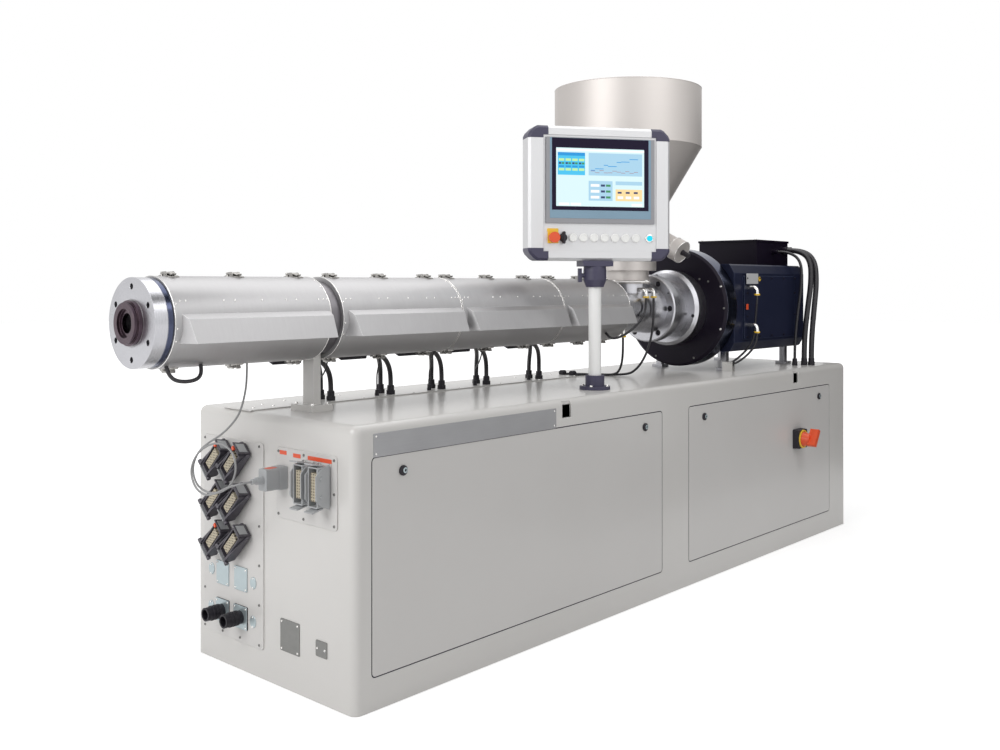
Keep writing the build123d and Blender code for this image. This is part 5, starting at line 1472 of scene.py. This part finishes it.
castings = bmesh.new()
light_parts = bmesh.new()
flags = bmesh.new()
for y in SOCKET_COLUMNS:
    for z in SOCKET_ROWS:
        place = facing((PANEL_FACE, y, z), LEFT, SOCKET_SPIN)
        add_power_connector(castings, light_parts, place)
        if (y, z) in FLAGGED:
            add_plate(flags, shifted(place, (-0.014, 0.052, SOCKET_DEPTH)), 0.012, 0.010, 0.006, 0.001)
casting_piece = add_piece("power_connector_castings", castings, socket_casting)
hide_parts("bulkhead_connectors")
add_piece("connector_bars_and_labels", light_parts, grey_plastic)
add_piece("connector_coding_flags", flags, red_plastic)
print("power connectors:", len(SOCKET_COLUMNS) * len(SOCKET_ROWS))

# %% [markdown]
# ### Signal plate
# The signal plate and the plug on it have plain red patches, and the machine gets them
# without words. Each of the two open signal connectors has a lever whose cheeks lie
# against the long sides, with a pin at each end.

# %% Red patches and signal levers
SIGNAL_PATCHES = ((-0.075, 0.7045, 0.034, 0.012), (-0.142, 0.7015, 0.036, 0.012))
SIGNAL_PATCHES += ((-0.249, 0.702, 0.11, 0.012), (-0.1455, 0.569, 0.034, 0.007))
PLUG_PLACE = (-1.650, -0.076)
SIGNAL_Y = (-0.207, -0.276)
SIGNAL_Z = 0.632
SIGNAL_CHEEK = [(-0.064, 0.006), (-0.050, 0.040), (-0.034, 0.054)]
SIGNAL_CHEEK += [(-along, out) for along, out in SIGNAL_CHEEK[::-1]]
LEVER_IN = 0.0225
LEVER_OUT = 0.0262

patches = bmesh.new()
for y, z, width, height in SIGNAL_PATCHES:
    add_plate(patches, facing((PANEL_FACE, y, z), LEFT), width, height, 0.0008, 0.0015, 0.0002)
plug_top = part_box("signal_plug")[1].z
add_plate(patches, facing((*PLUG_PLACE, plug_top), UP), 0.03, 0.024, 0.001)
add_piece("red_marking_patches", patches, red_plastic)

levers = bmesh.new()
for y in SIGNAL_Y:
    place = facing((PANEL_FACE, y, SIGNAL_Z), LEFT)
    for span in ((-LEVER_OUT, -LEVER_IN), (LEVER_IN, LEVER_OUT)):
        loft(levers, [[(x, along, out) for along, out in SIGNAL_CHEEK] for x in span], place)
    for side in (-1, 1):
        for x in (-LEVER_OUT, LEVER_OUT):
            pin = [place @ Vector((reach, side * 0.026, 0.036)) for reach in (x, x * 1.16)]
            add_rod(levers, *pin, 0.0055)
add_piece("signal_connector_levers", levers, grey_plastic)
print("levers on", len(SIGNAL_Y), "signal connectors")

# %% [markdown]
# ### Covers and the front wall
# A dark strip fills the gap round each lift-off cover and stays a little below the
# paint. It is painted shade: a fine dark line frames the cover as the shade in the gap would.
# Every cover is held by round locks, whose bright middle has a hexagon keyway.

# %% Gap shade strips and locks
WALL_Y = 0.4
COVER_SPANS = ((-1.536, -0.067), (0.128, 1.414))
COVER_Z = (0.096, 0.714)
GAP = 0.0042
COVER_CORNER = 0.012
STRIP_PLAY = 0.0004
LOCK_X = (-1.414, -0.177, 0.253, 1.306)
LOCK_Z = 0.666

gap_shades = bmesh.new()
cover_height = COVER_Z[1] - COVER_Z[0]
for normal, wall in ((FRONT, -WALL_Y), (REAR, WALL_Y)):
    for start, end in COVER_SPANS:
        place = facing(((start + end) / 2, wall, sum(COVER_Z) / 2), normal)
        width = end - start
        outer = (width + 2 * GAP, cover_height + 2 * GAP, COVER_CORNER + 0.004)
        inner = (width - STRIP_PLAY, cover_height - STRIP_PLAY, COVER_CORNER)
        add_frame(gap_shades, place, outer, inner, -0.006, -0.0012)
add_piece("cover_gap_shades", gap_shades, joint_and_gap_shade)

keyways = bmesh.new()
lock_front, lock_rear = [corner.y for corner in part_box("cover_locks")]
for normal, wall in ((FRONT, lock_front), (REAR, lock_rear)):
    for x in LOCK_X:
        rings = [round_ring(0.0085, SUNK), round_ring(0.0085, 0.0008), round_ring(0.0072, 0.0012)]
        rings += [hexagon_ring(0.0045, 0.0012), hexagon_ring(0.0045, -0.0003)]
        loft(keyways, rings, facing((x, wall, LOCK_Z), normal))
add_piece("lock_keyways", keyways, zinc)
print("seals on", 2 * len(COVER_SPANS), "covers")

# %% [markdown]
# A long blank plate of brushed aluminium is screwed to the front wall above the left
# cover. The main switch has a yellow ring under its red handle, the usual sign for a
# switch that also stops the machine.

# %% Blank plate and switch ring
NAME_PLATE_X = (-1.533, -0.716)
NAME_PLATE_Z = (0.716, 0.784)
NAME_PLATE_THICK = 0.0015
CORNER_STEP = 0.01
SWITCH_PLACE = (1.071, -0.43, 0.487)
SWITCH_RING = ((0.0425, 0), (0.0425, 0.0035), (0.0415, 0.0046), (0.0350, 0.0046), (0.0350, 0))

name_plate = bmesh.new()
plate_middle = (sum(NAME_PLATE_X) / 2, -WALL_Y, sum(NAME_PLATE_Z) / 2)
plate_width = NAME_PLATE_X[1] - NAME_PLATE_X[0]
plate_height = NAME_PLATE_Z[1] - NAME_PLATE_Z[0]
add_plate(name_plate, facing(plate_middle, FRONT), plate_width, plate_height, NAME_PLATE_THICK, 0.003)
add_piece("blank_name_plate", name_plate, brushed_plate)
plate_corners = []
for x in (NAME_PLATE_X[0] + CORNER_STEP, NAME_PLATE_X[1] - CORNER_STEP):
    plate_corners += [(x, -WALL_Y - NAME_PLATE_THICK, z) for z in (0.725, 0.775)]
screws("name_plate_screws", plate_corners, FRONT, 0.003, 0.0015)

switch_ring = bmesh.new()
turned(switch_ring, SWITCH_RING, facing(SWITCH_PLACE, FRONT), closed=True)
add_piece("switch_yellow_ring", switch_ring, yellow_plastic)
print("blank plate:", round(plate_width, 3), "m long")

# %% [markdown]
# ### Deck
# The strip that carries the cable glands is screwed down along both edges. The pole's
# round foot has four bolts on a circle, and the barrel's pedestal one in each corner.

# %% Screws on the deck
DECK_Z = 0.81
STRIP_TOP = 0.814
STRIP_EDGES = (0.121, 0.253)
STRIP_STEP = 0.235
POLE = (-0.311, -0.260)
FOOT_TOP = 0.822
FOOT_CIRCLE = 0.047
PEDESTAL_PLATE = 0.02
PEDESTAL_STEP = 0.012
BOLT_SIZE = (0.0055, 0.006)

strip_places = [(-1.551, 0.155, STRIP_TOP), (-1.475, 0.215, STRIP_TOP), (-1.471, 0.161, STRIP_TOP)]
strip_places += [(-1.36 + STRIP_STEP * i, y, STRIP_TOP) for i in range(7) for y in STRIP_EDGES]
screws("gland_strip_screws", strip_places, UP, 0.0045, 0.0026)

deck_bolts = bmesh.new()
for i in range(4):
    turn = radians(90 * i + 20)
    bolt_place = (POLE[0] + FOOT_CIRCLE * cos(turn), POLE[1] + FOOT_CIRCLE * sin(turn), FOOT_TOP)
    add_bolt(deck_bolts, facing(bolt_place, UP, 30 * i), *BOLT_SIZE)
foot_low, foot_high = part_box("barrel_pedestal")
for x in (foot_low.x + PEDESTAL_STEP, foot_high.x - PEDESTAL_STEP):
    for y in (foot_low.y + PEDESTAL_STEP, foot_high.y - PEDESTAL_STEP):
        add_bolt(deck_bolts, facing((x, y, DECK_Z + PEDESTAL_PLATE), UP, 200 * x), *BOLT_SIZE)
add_piece("deck_bolts", deck_bolts, nickel)
print("deck screws:", len(strip_places))

# %% [markdown]
# ### Toggle latches
# Every guard is clamped by toggle latches above and below. A latch is a base strap on
# each side of the joint, a lever with a turned-up end between two ears, two springs, and
# two wires that pull on a hook across the joint. One latch is built at the crown of the
# guard and repeated along the barrel, and half a turn about the barrel's axis brings it
# to the underside. The CAD solids give only their outline, so the latches replace them.

# %% Latches
LATCH_X = (-1.939, -1.727, -1.514, -1.373, -1.166, -0.958)
LATCH_X += (-0.851, -0.641, -0.431, -0.280, -0.086, 0.066)
GUARD_RADIUS = 0.129
STRAP_LEAN = 12
EAR_STEP = 0.012
WIRE_STEP = 0.0105
WIRE_THICK = 0.0012
PIVOT = (-0.012, 0.0085)
WIRE_HOOK = (0.02, 0.0065)


def add_latch(mesh, x, underside=False):
    """One latch on the crown of the guard, or on its underside."""
    barrel = shifted(Matrix(), (x, 0, AXIS_HEIGHT), 180 if underside else 0)
    crown = shifted(barrel, (0, 0, GUARD_RADIUS))
    add_plate(mesh, shifted(crown, (0, -0.017, -0.0035), STRAP_LEAN), 0.034, 0.03, 0.006, 0.003)
    add_plate(mesh, shifted(crown, (0, 0.019, -0.004), -STRAP_LEAN), 0.03, 0.024, 0.0065, 0.003)
    for aside in (-EAR_STEP, EAR_STEP):
        add_plate(mesh, shifted(crown, (aside, -0.006, 0.002), 90, "Y"), 0.022, 0.016, 0.0016, 0.004)
        spring = shifted(crown, (aside * 0.75, 0.004, 0.0085), 90)
        turned(mesh, [(0.0042, -0.009), (0.0042, 0.009)], spring)
    add_plate(mesh, shifted(crown, (0, -0.014, 0.0055), 8), 0.016, 0.034, 0.0028, 0.004)
    add_plate(mesh, shifted(crown, (0, -0.031, 0.0045), -38), 0.014, 0.008, 0.0022, 0.002)
    rods = [((aside, *PIVOT), (aside, *WIRE_HOOK), WIRE_THICK) for aside in (-WIRE_STEP, WIRE_STEP)]
    wire_end = WIRE_STEP + WIRE_THICK
    rods.append(((-wire_end, *WIRE_HOOK), (wire_end, *WIRE_HOOK), WIRE_THICK))
    rods.append(((-EAR_STEP, *PIVOT), (EAR_STEP, *PIVOT), 0.0026))
    for start, end, radius in rods:
        add_rod(mesh, crown @ Vector(start), crown @ Vector(end), radius)
    add_plate(mesh, shifted(crown, (0, 0.0225, 0.001), -24), 0.014, 0.0045, 0.0115, 0.001)


latches = bmesh.new()
for x in LATCH_X:
    add_latch(latches, x)
    add_latch(latches, x, underside=True)
latch_piece = add_piece("toggle_latches", latches, latch_steel)
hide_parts("cover_latches")
print("latches:", 2 * len(LATCH_X))

# %% [markdown]
# ### Rivets of the guards
# The guards are rolled sheet, riveted to hoops at both ends, and the hoods are fixed
# by a row of small screws above their upper edge. A rivet head is a low dome. Its place
# is given by the angle from straight up, turning towards the front.

# %% Guard rivets
GUARD_SPANS = ((-1.992, -1.463), (-1.418, -0.892), (-0.890, -0.329), (-0.327, 0.110))
HOOD_ROW_ANGLE = 62
DIE_END_ANGLES = (66, 96, 112)
DRIVE_END_ANGLES = (24, 40, HOOD_ROW_ANGLE)
HOOD_ROW_ENDS = (0.022, 0.04)
HOOD_ROW_SHARES = (0.3, 0.37, 0.54, 0.7, 0.77)
END_STEP = 0.008
RIVET = ((0.0028, SUNK), (0.0026, 0.0008), (0.0016, 0.0014))

rivets = bmesh.new()
for start, end in GUARD_SPANS:
    row = [start + step for step in HOOD_ROW_ENDS] + [end - step for step in HOOD_ROW_ENDS]
    row += [start + (end - start) * share for share in HOOD_ROW_SHARES]
    spots = [(x, HOOD_ROW_ANGLE) for x in row]
    spots += [(start + END_STEP, angle) for angle in DIE_END_ANGLES]
    spots += [(end - END_STEP, angle) for angle in DRIVE_END_ANGLES]
    for x, angle in spots:
        outward = Vector((0, -sin(radians(angle)), cos(radians(angle))))
        turned(rivets, RIVET, facing(Vector((x, 0, AXIS_HEIGHT)) + outward * GUARD_RADIUS, outward))
add_piece("guard_rivets", rivets, nickel)
print("guards with rivets:", len(GUARD_SPANS))

# %% [markdown]
# ### Edges of the guards
# Each guard has a rolled edge at both ends, whose bright nickel tone is a painted
# highlight. Where two guards meet without a support ring, a dark joint shows between
# them. A dark blue ring fills the gap behind the die flange as painted shade there, and
# its pale edge colour is a painted highlight. All are turned about the barrel's axis, so
# their heights are places along X.

# %% Edges, joints and the flange's gap ring
ALONG_BARREL = shifted(Matrix(), (0, 0, AXIS_HEIGHT), 90, "Y")
HOOP_THICK = 0.0012
HOOP_STEP = 0.0015
JOINTS = (-0.891, -0.328)
JOINT_HALF = 0.0016
JOINT_RADII = (0.124, 0.1292)
FLANGE_GAP_RING = ((0.1075, -2.0096), (0.1236, -2.0096), (0.1246, -2.0086))
FLANGE_GAP_RING += ((0.1246, -1.9936), (0.1236, -1.9926), (0.1075, -1.9926))

# The nickel tone of the rolled edges is a painted highlight.
hoops = bmesh.new()
for start, end in GUARD_SPANS:
    for x in (start + HOOP_STEP, end - HOOP_STEP):
        add_wide_ring(hoops, bead(GUARD_RADIUS, x, HOOP_THICK), ALONG_BARREL)
add_piece("bright_guard_edges", hoops, nickel)
joints = bmesh.new()
inner, outer = JOINT_RADII
for x in JOINTS:
    low, high = x - JOINT_HALF, x + JOINT_HALF
    add_wide_ring(joints, [(inner, low), (outer, low), (outer, high), (inner, high)], ALONG_BARREL)
add_piece("dark_guard_joints", joints, joint_and_gap_shade)
flange_gap_shade = bmesh.new()
add_wide_ring(flange_gap_shade, FLANGE_GAP_RING, ALONG_BARREL)
add_piece("flange_gap_shade_ring", flange_gap_shade, dark_steel_edge_highlight)
print("hoops:", 2 * len(GUARD_SPANS), "joints:", len(JOINTS))

# %% [markdown]
# ### Feed section and drive disc
# The black disc has a ring of small bright and dark screws and a rim of blued steel,
# whose pale edge is a painted highlight. Socket screws sit deep in the feed section's
# turned flange, where only their black heads show. They are turned with a hollow face
# instead of a hexagon, which is too small to see there. Flat black discs stand for a vent
# in the flange and three holes in the drive ring's face: painted shade in the openings.

# %% Disc and feed flange
DISC_FACE = 0.648
BRIGHT_SCREWS = ((-0.243, 1.197), (-0.241, 1.006))
DARK_SCREWS = ((-0.1775, 1.22), (-0.258, 1.1), (-0.1024, 0.871), (-0.1328, 1.231))
RIM = ((0.2695, 0.0115), (0.2714, 0.014), (0.2714, 0.092), (0.268, 0.0945), (0.25, 0.0945), (0.25, 0.0115))
FEED_FACE = 0.415
HEAD_DEPTH = 0.004
BOLT_CIRCLE = 0.124
HEAD = ((0.0122, SUNK), (0.0122, 0.0012), (0.0108, 0.0024), (0.0062, 0.0024), (0.0055, 0.0002))
VENT_PLACE = (FEED_FACE, -0.1153, 1.168)
RING_FACE = 0.565
RING_CIRCLE = 0.152
RING_HOLE_ANGLES = (-13, 107, 227)


def on_circle(x, radius, angle):
    """A place on a circle about the barrel's axis; the angle turns from the front upward."""
    return (x, -radius * cos(radians(angle)), AXIS_HEIGHT + radius * sin(radians(angle)))


bright_places = [(DISC_FACE, side * y, z) for side in (1, -1) for y, z in BRIGHT_SCREWS]
screws("disc_bright_screws", bright_places, LEFT, 0.005, 0.004)
dark_places = [(DISC_FACE, side * y, z) for side in (1, -1) for y, z in DARK_SCREWS]
screws("disc_dark_screws", dark_places, LEFT, 0.005, 0.003, dull_steel)

heads_and_hole_shades = bmesh.new()
for i in range(6):
    head_place = on_circle(FEED_FACE + HEAD_DEPTH, BOLT_CIRCLE, 60 * i + 1)
    turned(heads_and_hole_shades, HEAD, facing(head_place, LEFT))
# Flat black discs for the vent and the ring's holes: painted shade in the openings.
turned(heads_and_hole_shades, [(0.0035, SUNK), (0.0035, 0.0004)], facing(VENT_PLACE, LEFT))
for angle in RING_HOLE_ANGLES:
    turned(heads_and_hole_shades, [(0.008, SUNK), (0.008, 0.0004)], facing(on_circle(RING_FACE, RING_CIRCLE, angle), LEFT))
add_piece("black_screw_heads_and_hole_shades", heads_and_hole_shades, black_plastic)

disc_rim = bmesh.new()
add_wide_ring(disc_rim, RIM, shifted(Matrix(), (DISC_FACE, 0, AXIS_HEIGHT), 90, "Y"))
add_piece("dark_disc_rim", disc_rim, dark_steel_edge_highlight)
print("disc screws:", len(bright_places) + len(dark_places))

# %% [markdown]
# ### Motor
# Screws hold the motor's side cover along its edges. Beside them sit a blank light
# plate, a yellow mark and a red one. The water fittings of the motor and of the feed
# section wear yellow collars on their nuts, and bolts close the terminal box.

# %% Motor fittings
MOTOR_SIDE = -0.272
MOTOR_SCREWS = [(x, z) for x in (0.834, 1.306) for z in (0.965, 1.059, 1.166, 1.235)]
MOTOR_SCREWS += [(x, z) for x in (0.95, 1.07, 1.19) for z in (0.965, 1.235)]
HOSE_ENDS = [route[0] for length, route in HOSE_ROUTES.values()]
NUT_COLLAR = ((0.0128, 0.0005), (0.0136, 0.002), (0.0136, 0.0065))
NUT_COLLAR += ((0.0128, 0.008), (0.006, 0.008), (0.006, 0.0005))
LID_BOLT_STEP = 0.014

motor_places = [(x, MOTOR_SIDE, z) for x, z in MOTOR_SCREWS]
screws("motor_side_screws", motor_places, FRONT, 0.0045, 0.003, black_paint)
motor_label = bmesh.new()
add_plate(motor_label, facing((0.8805, MOTOR_SIDE, 1.233), FRONT), 0.108, 0.048, 0.0012)
add_piece("blank_motor_plate", motor_label, aluminium)

yellow_marks = bmesh.new()
turned(yellow_marks, [(0.0105, SUNK), (0.0105, 0.001)], facing((0.9486, MOTOR_SIDE, 1.232), FRONT))
for place in HOSE_ENDS:
    turned(yellow_marks, NUT_COLLAR, facing(place, UP), closed=True)
add_piece("yellow_marks_and_collars", yellow_marks, yellow_plastic)
red_mark = bmesh.new()
add_plate(red_mark, facing((0.8335, MOTOR_SIDE, 1.104), FRONT), 0.02, 0.026, 0.001)
add_piece("red_motor_mark", red_mark, red_plastic)

lid_low, lid_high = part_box("terminal_lid")
lid_bolts = bmesh.new()
for x in (lid_low.x + LID_BOLT_STEP, lid_high.x - LID_BOLT_STEP):
    for y in (lid_low.y + LID_BOLT_STEP, lid_high.y - LID_BOLT_STEP):
        add_bolt(lid_bolts, facing((x, y, lid_high.z), UP, 11), 0.005, 0.0055)
add_piece("terminal_lid_bolts", lid_bolts, nickel)
print("motor screws:", len(MOTOR_SCREWS), "collars:", len(HOSE_ENDS))

# %% [markdown]
# ### Hopper
# The drum's upper edge is rolled over a wire and the seams between drum, cone and neck
# are ground welds, so all three are beads. The clamp under the neck is drawn together by
# a rod with three nuts. The frame says how high the seams are.

# %% Hopper beads and clamp rod
HOPPER = (0.272, 0.0)
HOPPER_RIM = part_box("hopper_drum")[1].z
CONE_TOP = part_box("hopper_drum")[0].z
NECK_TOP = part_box("hopper_cone")[0].z
ROD_START = Vector((0.1256, 0.0037, 1.2183))
ROD_END = Vector((0.2459, -0.1291, 1.2183))
ROD_RADIUS = 0.0042
NUT_RADIUS = 0.009
NUT_HALF = 0.005

hopper_seams = bmesh.new()
upright = Matrix.Translation((*HOPPER, 0))
add_wide_ring(hopper_seams, bead(0.3168, HOPPER_RIM - 0.0016, 0.0021), upright)
add_wide_ring(hopper_seams, bead(0.3176, CONE_TOP, 0.0012), upright)
add_wide_ring(hopper_seams, bead(0.1226, NECK_TOP, 0.0014), upright)
add_piece("hopper_rim_and_welds", hopper_seams, hopper_steel)

clamp_rod = bmesh.new()
along_rod = (ROD_END - ROD_START).normalized()
add_rod(clamp_rod, ROD_START, ROD_END, ROD_RADIUS)
for spot in (ROD_START + along_rod * 0.006, ROD_START + along_rod * 0.03, ROD_END - along_rod * 0.012):
    nut = [hexagon_ring(NUT_RADIUS, height) for height in (-NUT_HALF, NUT_HALF)]
    loft(clamp_rod, nut, facing(spot, along_rod))
add_piece("clamp_rod", clamp_rod, nickel)
print("hopper rim at", round(HOPPER_RIM, 3), "m")

# %% [markdown]
# The drain spout leaves the neck towards the front and downwards. It ends in a press-on
# cap with two rolled beads and a black knob, all turned about the spout's own axis.

# %% Cap of the spout
SPOUT_START = (0.272, 0, 1.482)
SPOUT_FALL = 27
CAP_BACK = 0.268
CAP_FRONT = 0.312
KNOB = ((0.0125, 0.0002), (0.0118, 0.004), (0.0108, 0.008), (0.0106, 0.026))
KNOB += ((0.0125, 0.03), (0.0125, 0.035), (0.009, 0.038))

spout_way = Vector((0, -cos(radians(SPOUT_FALL)), -sin(radians(SPOUT_FALL))))
spout_frame = facing(SPOUT_START, spout_way)
cap_trim = bmesh.new()
add_wide_ring(cap_trim, bead(0.0472, CAP_FRONT - 0.001, 0.0018), spout_frame)
add_wide_ring(cap_trim, bead(0.0478, CAP_BACK + 0.002, 0.0014), spout_frame)
add_piece("spout_cap_beads", cap_trim, nickel)
knob = bmesh.new()
turned(knob, [(radius, CAP_FRONT + height) for radius, height in KNOB], spout_frame)
add_piece("black_spout_knob", knob, black_plastic)
print("cap from", CAP_BACK, "to", CAP_FRONT, "m along the spout")

# %% [markdown]
# ### The operator panel
# The panel is drawn flat in its own frame, with X to the right, Z up and the pole's
# axis at the origin, and `PANEL_PLACE` turns all of it into the room. The screen is a
# stack of thin plates: a grey rim, a blue-grey band, black glass and the lit picture.
# Thin plates keep the steps between them real, so they show from the side as well.

# %% Screen
PANEL_TURN = -34.5
PANEL_PLACE = Matrix.Translation((*POLE, 0)) @ Matrix.Rotation(radians(PANEL_TURN), 4, "Z")
SHEET_FACE = -0.039
RIM_FACE = -0.045
SCREEN_STACK = (
    ("screen_rim", (-0.2047, 0.2227), (1.4338, 1.7532), 0, 0.0008, rim_grey),
    ("screen_band", (-0.190, 0.208), (1.452, 1.7512), 0.0008, 0.0005, band_blue),
    ("screen_black_glass", (-0.182, 0.198), (1.483, 1.7505), 0.0013, 0.0006, screen_front),
    ("lit_picture", (-0.166, 0.180), (1.497, 1.714), 0.0019, 0.0003, lit["pale"]),
)


def on_panel(x, z, y=SHEET_FACE):
    """A place on the panel's front."""
    return PANEL_PLACE @ facing((x, y, z), FRONT)


for name, (left, right), (low, high), raised, thick, material in SCREEN_STACK:
    plate = bmesh.new()
    middle = on_panel((left + right) / 2, (low + high) / 2, RIM_FACE - raised)
    add_plate(plate, middle, right - left, high - low, thick, 0.001, 0.0002)
    add_piece(name, plate, material, "panel")
print("screen plates:", len(SCREEN_STACK))

# %% [markdown]
# The picture on the screen is a plain made-up layout in the usual tones: fields in
# rows, two tinted panels and a line chart. One table holds it, in millimetres from the
# picture's lower left corner, and each colour becomes one mesh. Every field lies a hair
# above the one before, so that no two faces share a plane.

# %% Picture on the screen
PICTURE_ORIGIN = (-0.166, 1.497)
PICTURE_FACE = RIM_FACE - 0.0022
FIELD_STEP = 0.00002
FIELDS = [
    ("sky", 6, 112, 116, 200),
    ("deep", 6, 112, 188, 200),
    ("amber", 232, 338, 22, 66),
    ("mist", 126, 220, 22, 96),
    ("mist", 232, 338, 82, 96),
    ("white", 0, 346, 206, 213),
    ("white", 10, 50, 3, 13),
    ("white", 56, 96, 3, 13),
    ("white", 296, 338, 3, 13),
    ("mist", 126, 338, 116, 200),
]
for left in (10, 36, 62, 88):
    FIELDS.append(("green", left, left + 21, 168, 177))
    FIELDS.append(("ink", left, left + 9, 156, 163))
    FIELDS.append(("leaf", left + 11, left + 21, 156, 163))
    FIELDS.append(("green", left, left + 21, 132, 141))
    FIELDS.append(("deep", left, left + 21, 144, 151))
for low in (30, 52, 74):
    FIELDS.append(("white", 134, 168, low, low + 10))
    FIELDS.append(("ink", 174, 190, low + 1, low + 9))
    FIELDS.append(("leaf", 194, 212, low + 1, low + 9))
for left in (240, 272, 304):
    FIELDS.append(("ink", left, left + 16, 50, 57))
    FIELDS.append(("white", left, left + 22, 30, 40))
CHART = (134, 146, 140, 160, 154, 150, 166, 172, 168, 182, 178, 186)
for step, (here, after) in enumerate(zip(CHART, CHART[1:])):
    left = 134 + 17 * step
    slope = (after - here) / 3
    FIELDS.append(("deep", left, left + 17, min(here, after), min(here, after) + 2.5))
    FIELDS.append(("rust", left, left + 17, 128 + slope, 129.5 + slope))

tints = {field[0] for field in FIELDS}
for colour in [colour for colour in lit if colour in tints]:
    layer = bmesh.new()
    for count, (tint, left, right, low, high) in enumerate(FIELDS):
        if tint == colour:
            x = PICTURE_ORIGIN[0] + (left + right) / 2000
            z = PICTURE_ORIGIN[1] + (low + high) / 2000
            outline = ((right - left) / 1000, (high - low) / 1000, 0.0004)
            add_bar(layer, on_panel(x, z, PICTURE_FACE - FIELD_STEP * count), outline, -0.0001, 0.00008)
    add_piece(f"screen_fields_{colour}", layer, lit[colour], "panel")
print("screen fields:", len(FIELDS))

# %% [markdown]
# Under the screen sit the stop button on its yellow plate, a key switch, seven white
# caps and one lit lamp. A cap is a ring with a slightly hollow face. The stop button
# itself is a CAD solid, because it moves.

# %% Push caps, key switch and lamp
BUTTON_Z = 1.38
CAP_X = [-0.1 + 0.0415 * i for i in range(7)]
KEY_X = -0.138
LAMP_X = 0.203
BUTTON_RADIUS = 0.0158
CAP = ((BUTTON_RADIUS, SUNK), (BUTTON_RADIUS, 0.006), (0.0148, 0.0078), (0.0132, 0.0085))
CAP += ((0.0124, 0.0086), (0.0116, 0.0080), (0.005, 0.0078))
KEY_COLLAR = ((BUTTON_RADIUS, SUNK), (BUTTON_RADIUS, 0.007), (0.013, 0.0088))
KEY_GRIP = ((0.0105, 0.046, 0.005, 0.0085), (0.0105, 0.046, 0.005, 0.02), (0.007, 0.04, 0.003, 0.0225))
LAMP_RING = ((BUTTON_RADIUS, SUNK), (BUTTON_RADIUS, 0.005), (0.0132, 0.0066))
LENS = ((0.0115, 0.0062), (0.0113, 0.0085), (0.0095, 0.0112), (0.005, 0.0128))

caps = bmesh.new()
for x in CAP_X:
    turned(caps, CAP, on_panel(x, BUTTON_Z))
cap_piece = add_piece("white_push_caps", caps, white_plastic, "panel")
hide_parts("panel_buttons")

key = bmesh.new()
key_place = on_panel(KEY_X, BUTTON_Z)
turned(key, KEY_COLLAR, key_place)
loft(key, [box_ring(*outline) for outline in KEY_GRIP], key_place)
turned(key, [(0.013, 0.0085), (0.012, 0.019)], key_place)
add_piece("black_key_switch", key, black_plastic, "panel")

lamp_base = bmesh.new()
turned(lamp_base, LAMP_RING, on_panel(LAMP_X, BUTTON_Z))
add_piece("lamp_ring", lamp_base, nickel, "panel")
lens = bmesh.new()
turned(lens, LENS, on_panel(LAMP_X, BUTTON_Z))
add_piece("lit_blue_lens", lens, lit["lens"], "panel")
print("push caps:", len(CAP_X))

# %% [markdown]
# The stop button's yellow plate is a frame round the button with a plain strip above it.
# The panel's housing is held together by moulded corners. A corner is drawn as an
# outline in X and Z, once for the back and once for the chamfered front, and mirrored to
# the other three by the signs of its two steps. It replaces the plainer CAD corners.

# %% Stop plate and corners of the panel
STOP_X = -0.176
STOP_PLATE = (0.042, 0.042, 0.003)
STOP_OPENING = (0.0215, 0.0215, 0.0107)
PANEL_X = (-0.2705, 0.2885)
PANEL_Z = (1.295, 1.796)
CORNER_BACK = [(0, -0.046), (0, -0.036), (0.006, -0.024), (0.024, -0.006), (0.036, 0)]
CORNER_BACK += [(0.076, 0), (0.076, -0.034), (0.057, -0.034), (0.057, -0.046)]
CORNER_FRONT = [(0.009, -0.046), (0.009, -0.039), (0.014, -0.029), (0.029, -0.014), (0.039, -0.009)]
CORNER_FRONT += [(0.076, -0.009), (0.076, -0.034), (0.057, -0.034), (0.057, -0.046)]
CORNER_SECTIONS = ((CORNER_BACK, 0.042), (CORNER_BACK, -0.033), (CORNER_FRONT, -0.0425))

stop_plate = bmesh.new()
add_frame(stop_plate, on_panel(STOP_X, BUTTON_Z), STOP_PLATE, STOP_OPENING, SUNK, 0.003)
add_plate(stop_plate, on_panel(STOP_X - 0.0015, BUTTON_Z + 0.0275), 0.043, 0.013, 0.003)
add_piece("yellow_stop_plate", stop_plate, yellow_plastic, body="panel")

corner_caps = bmesh.new()
for x, side in ((PANEL_X[0], 1), (PANEL_X[1], -1)):
    for z, up in ((PANEL_Z[1], 1), (PANEL_Z[0], -1)):
        rings = []
        for outline, y in CORNER_SECTIONS:
            rings.append([(x + side * across, y, z + up * rise) for across, rise in outline])
        loft(corner_caps, rings, PANEL_PLACE)
corner_piece = add_piece("rounded_panel_corners", corner_caps, violet_plastic, "panel")
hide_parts("panel_corners")
print("panel corners:", len(PANEL_X) * len(PANEL_Z))
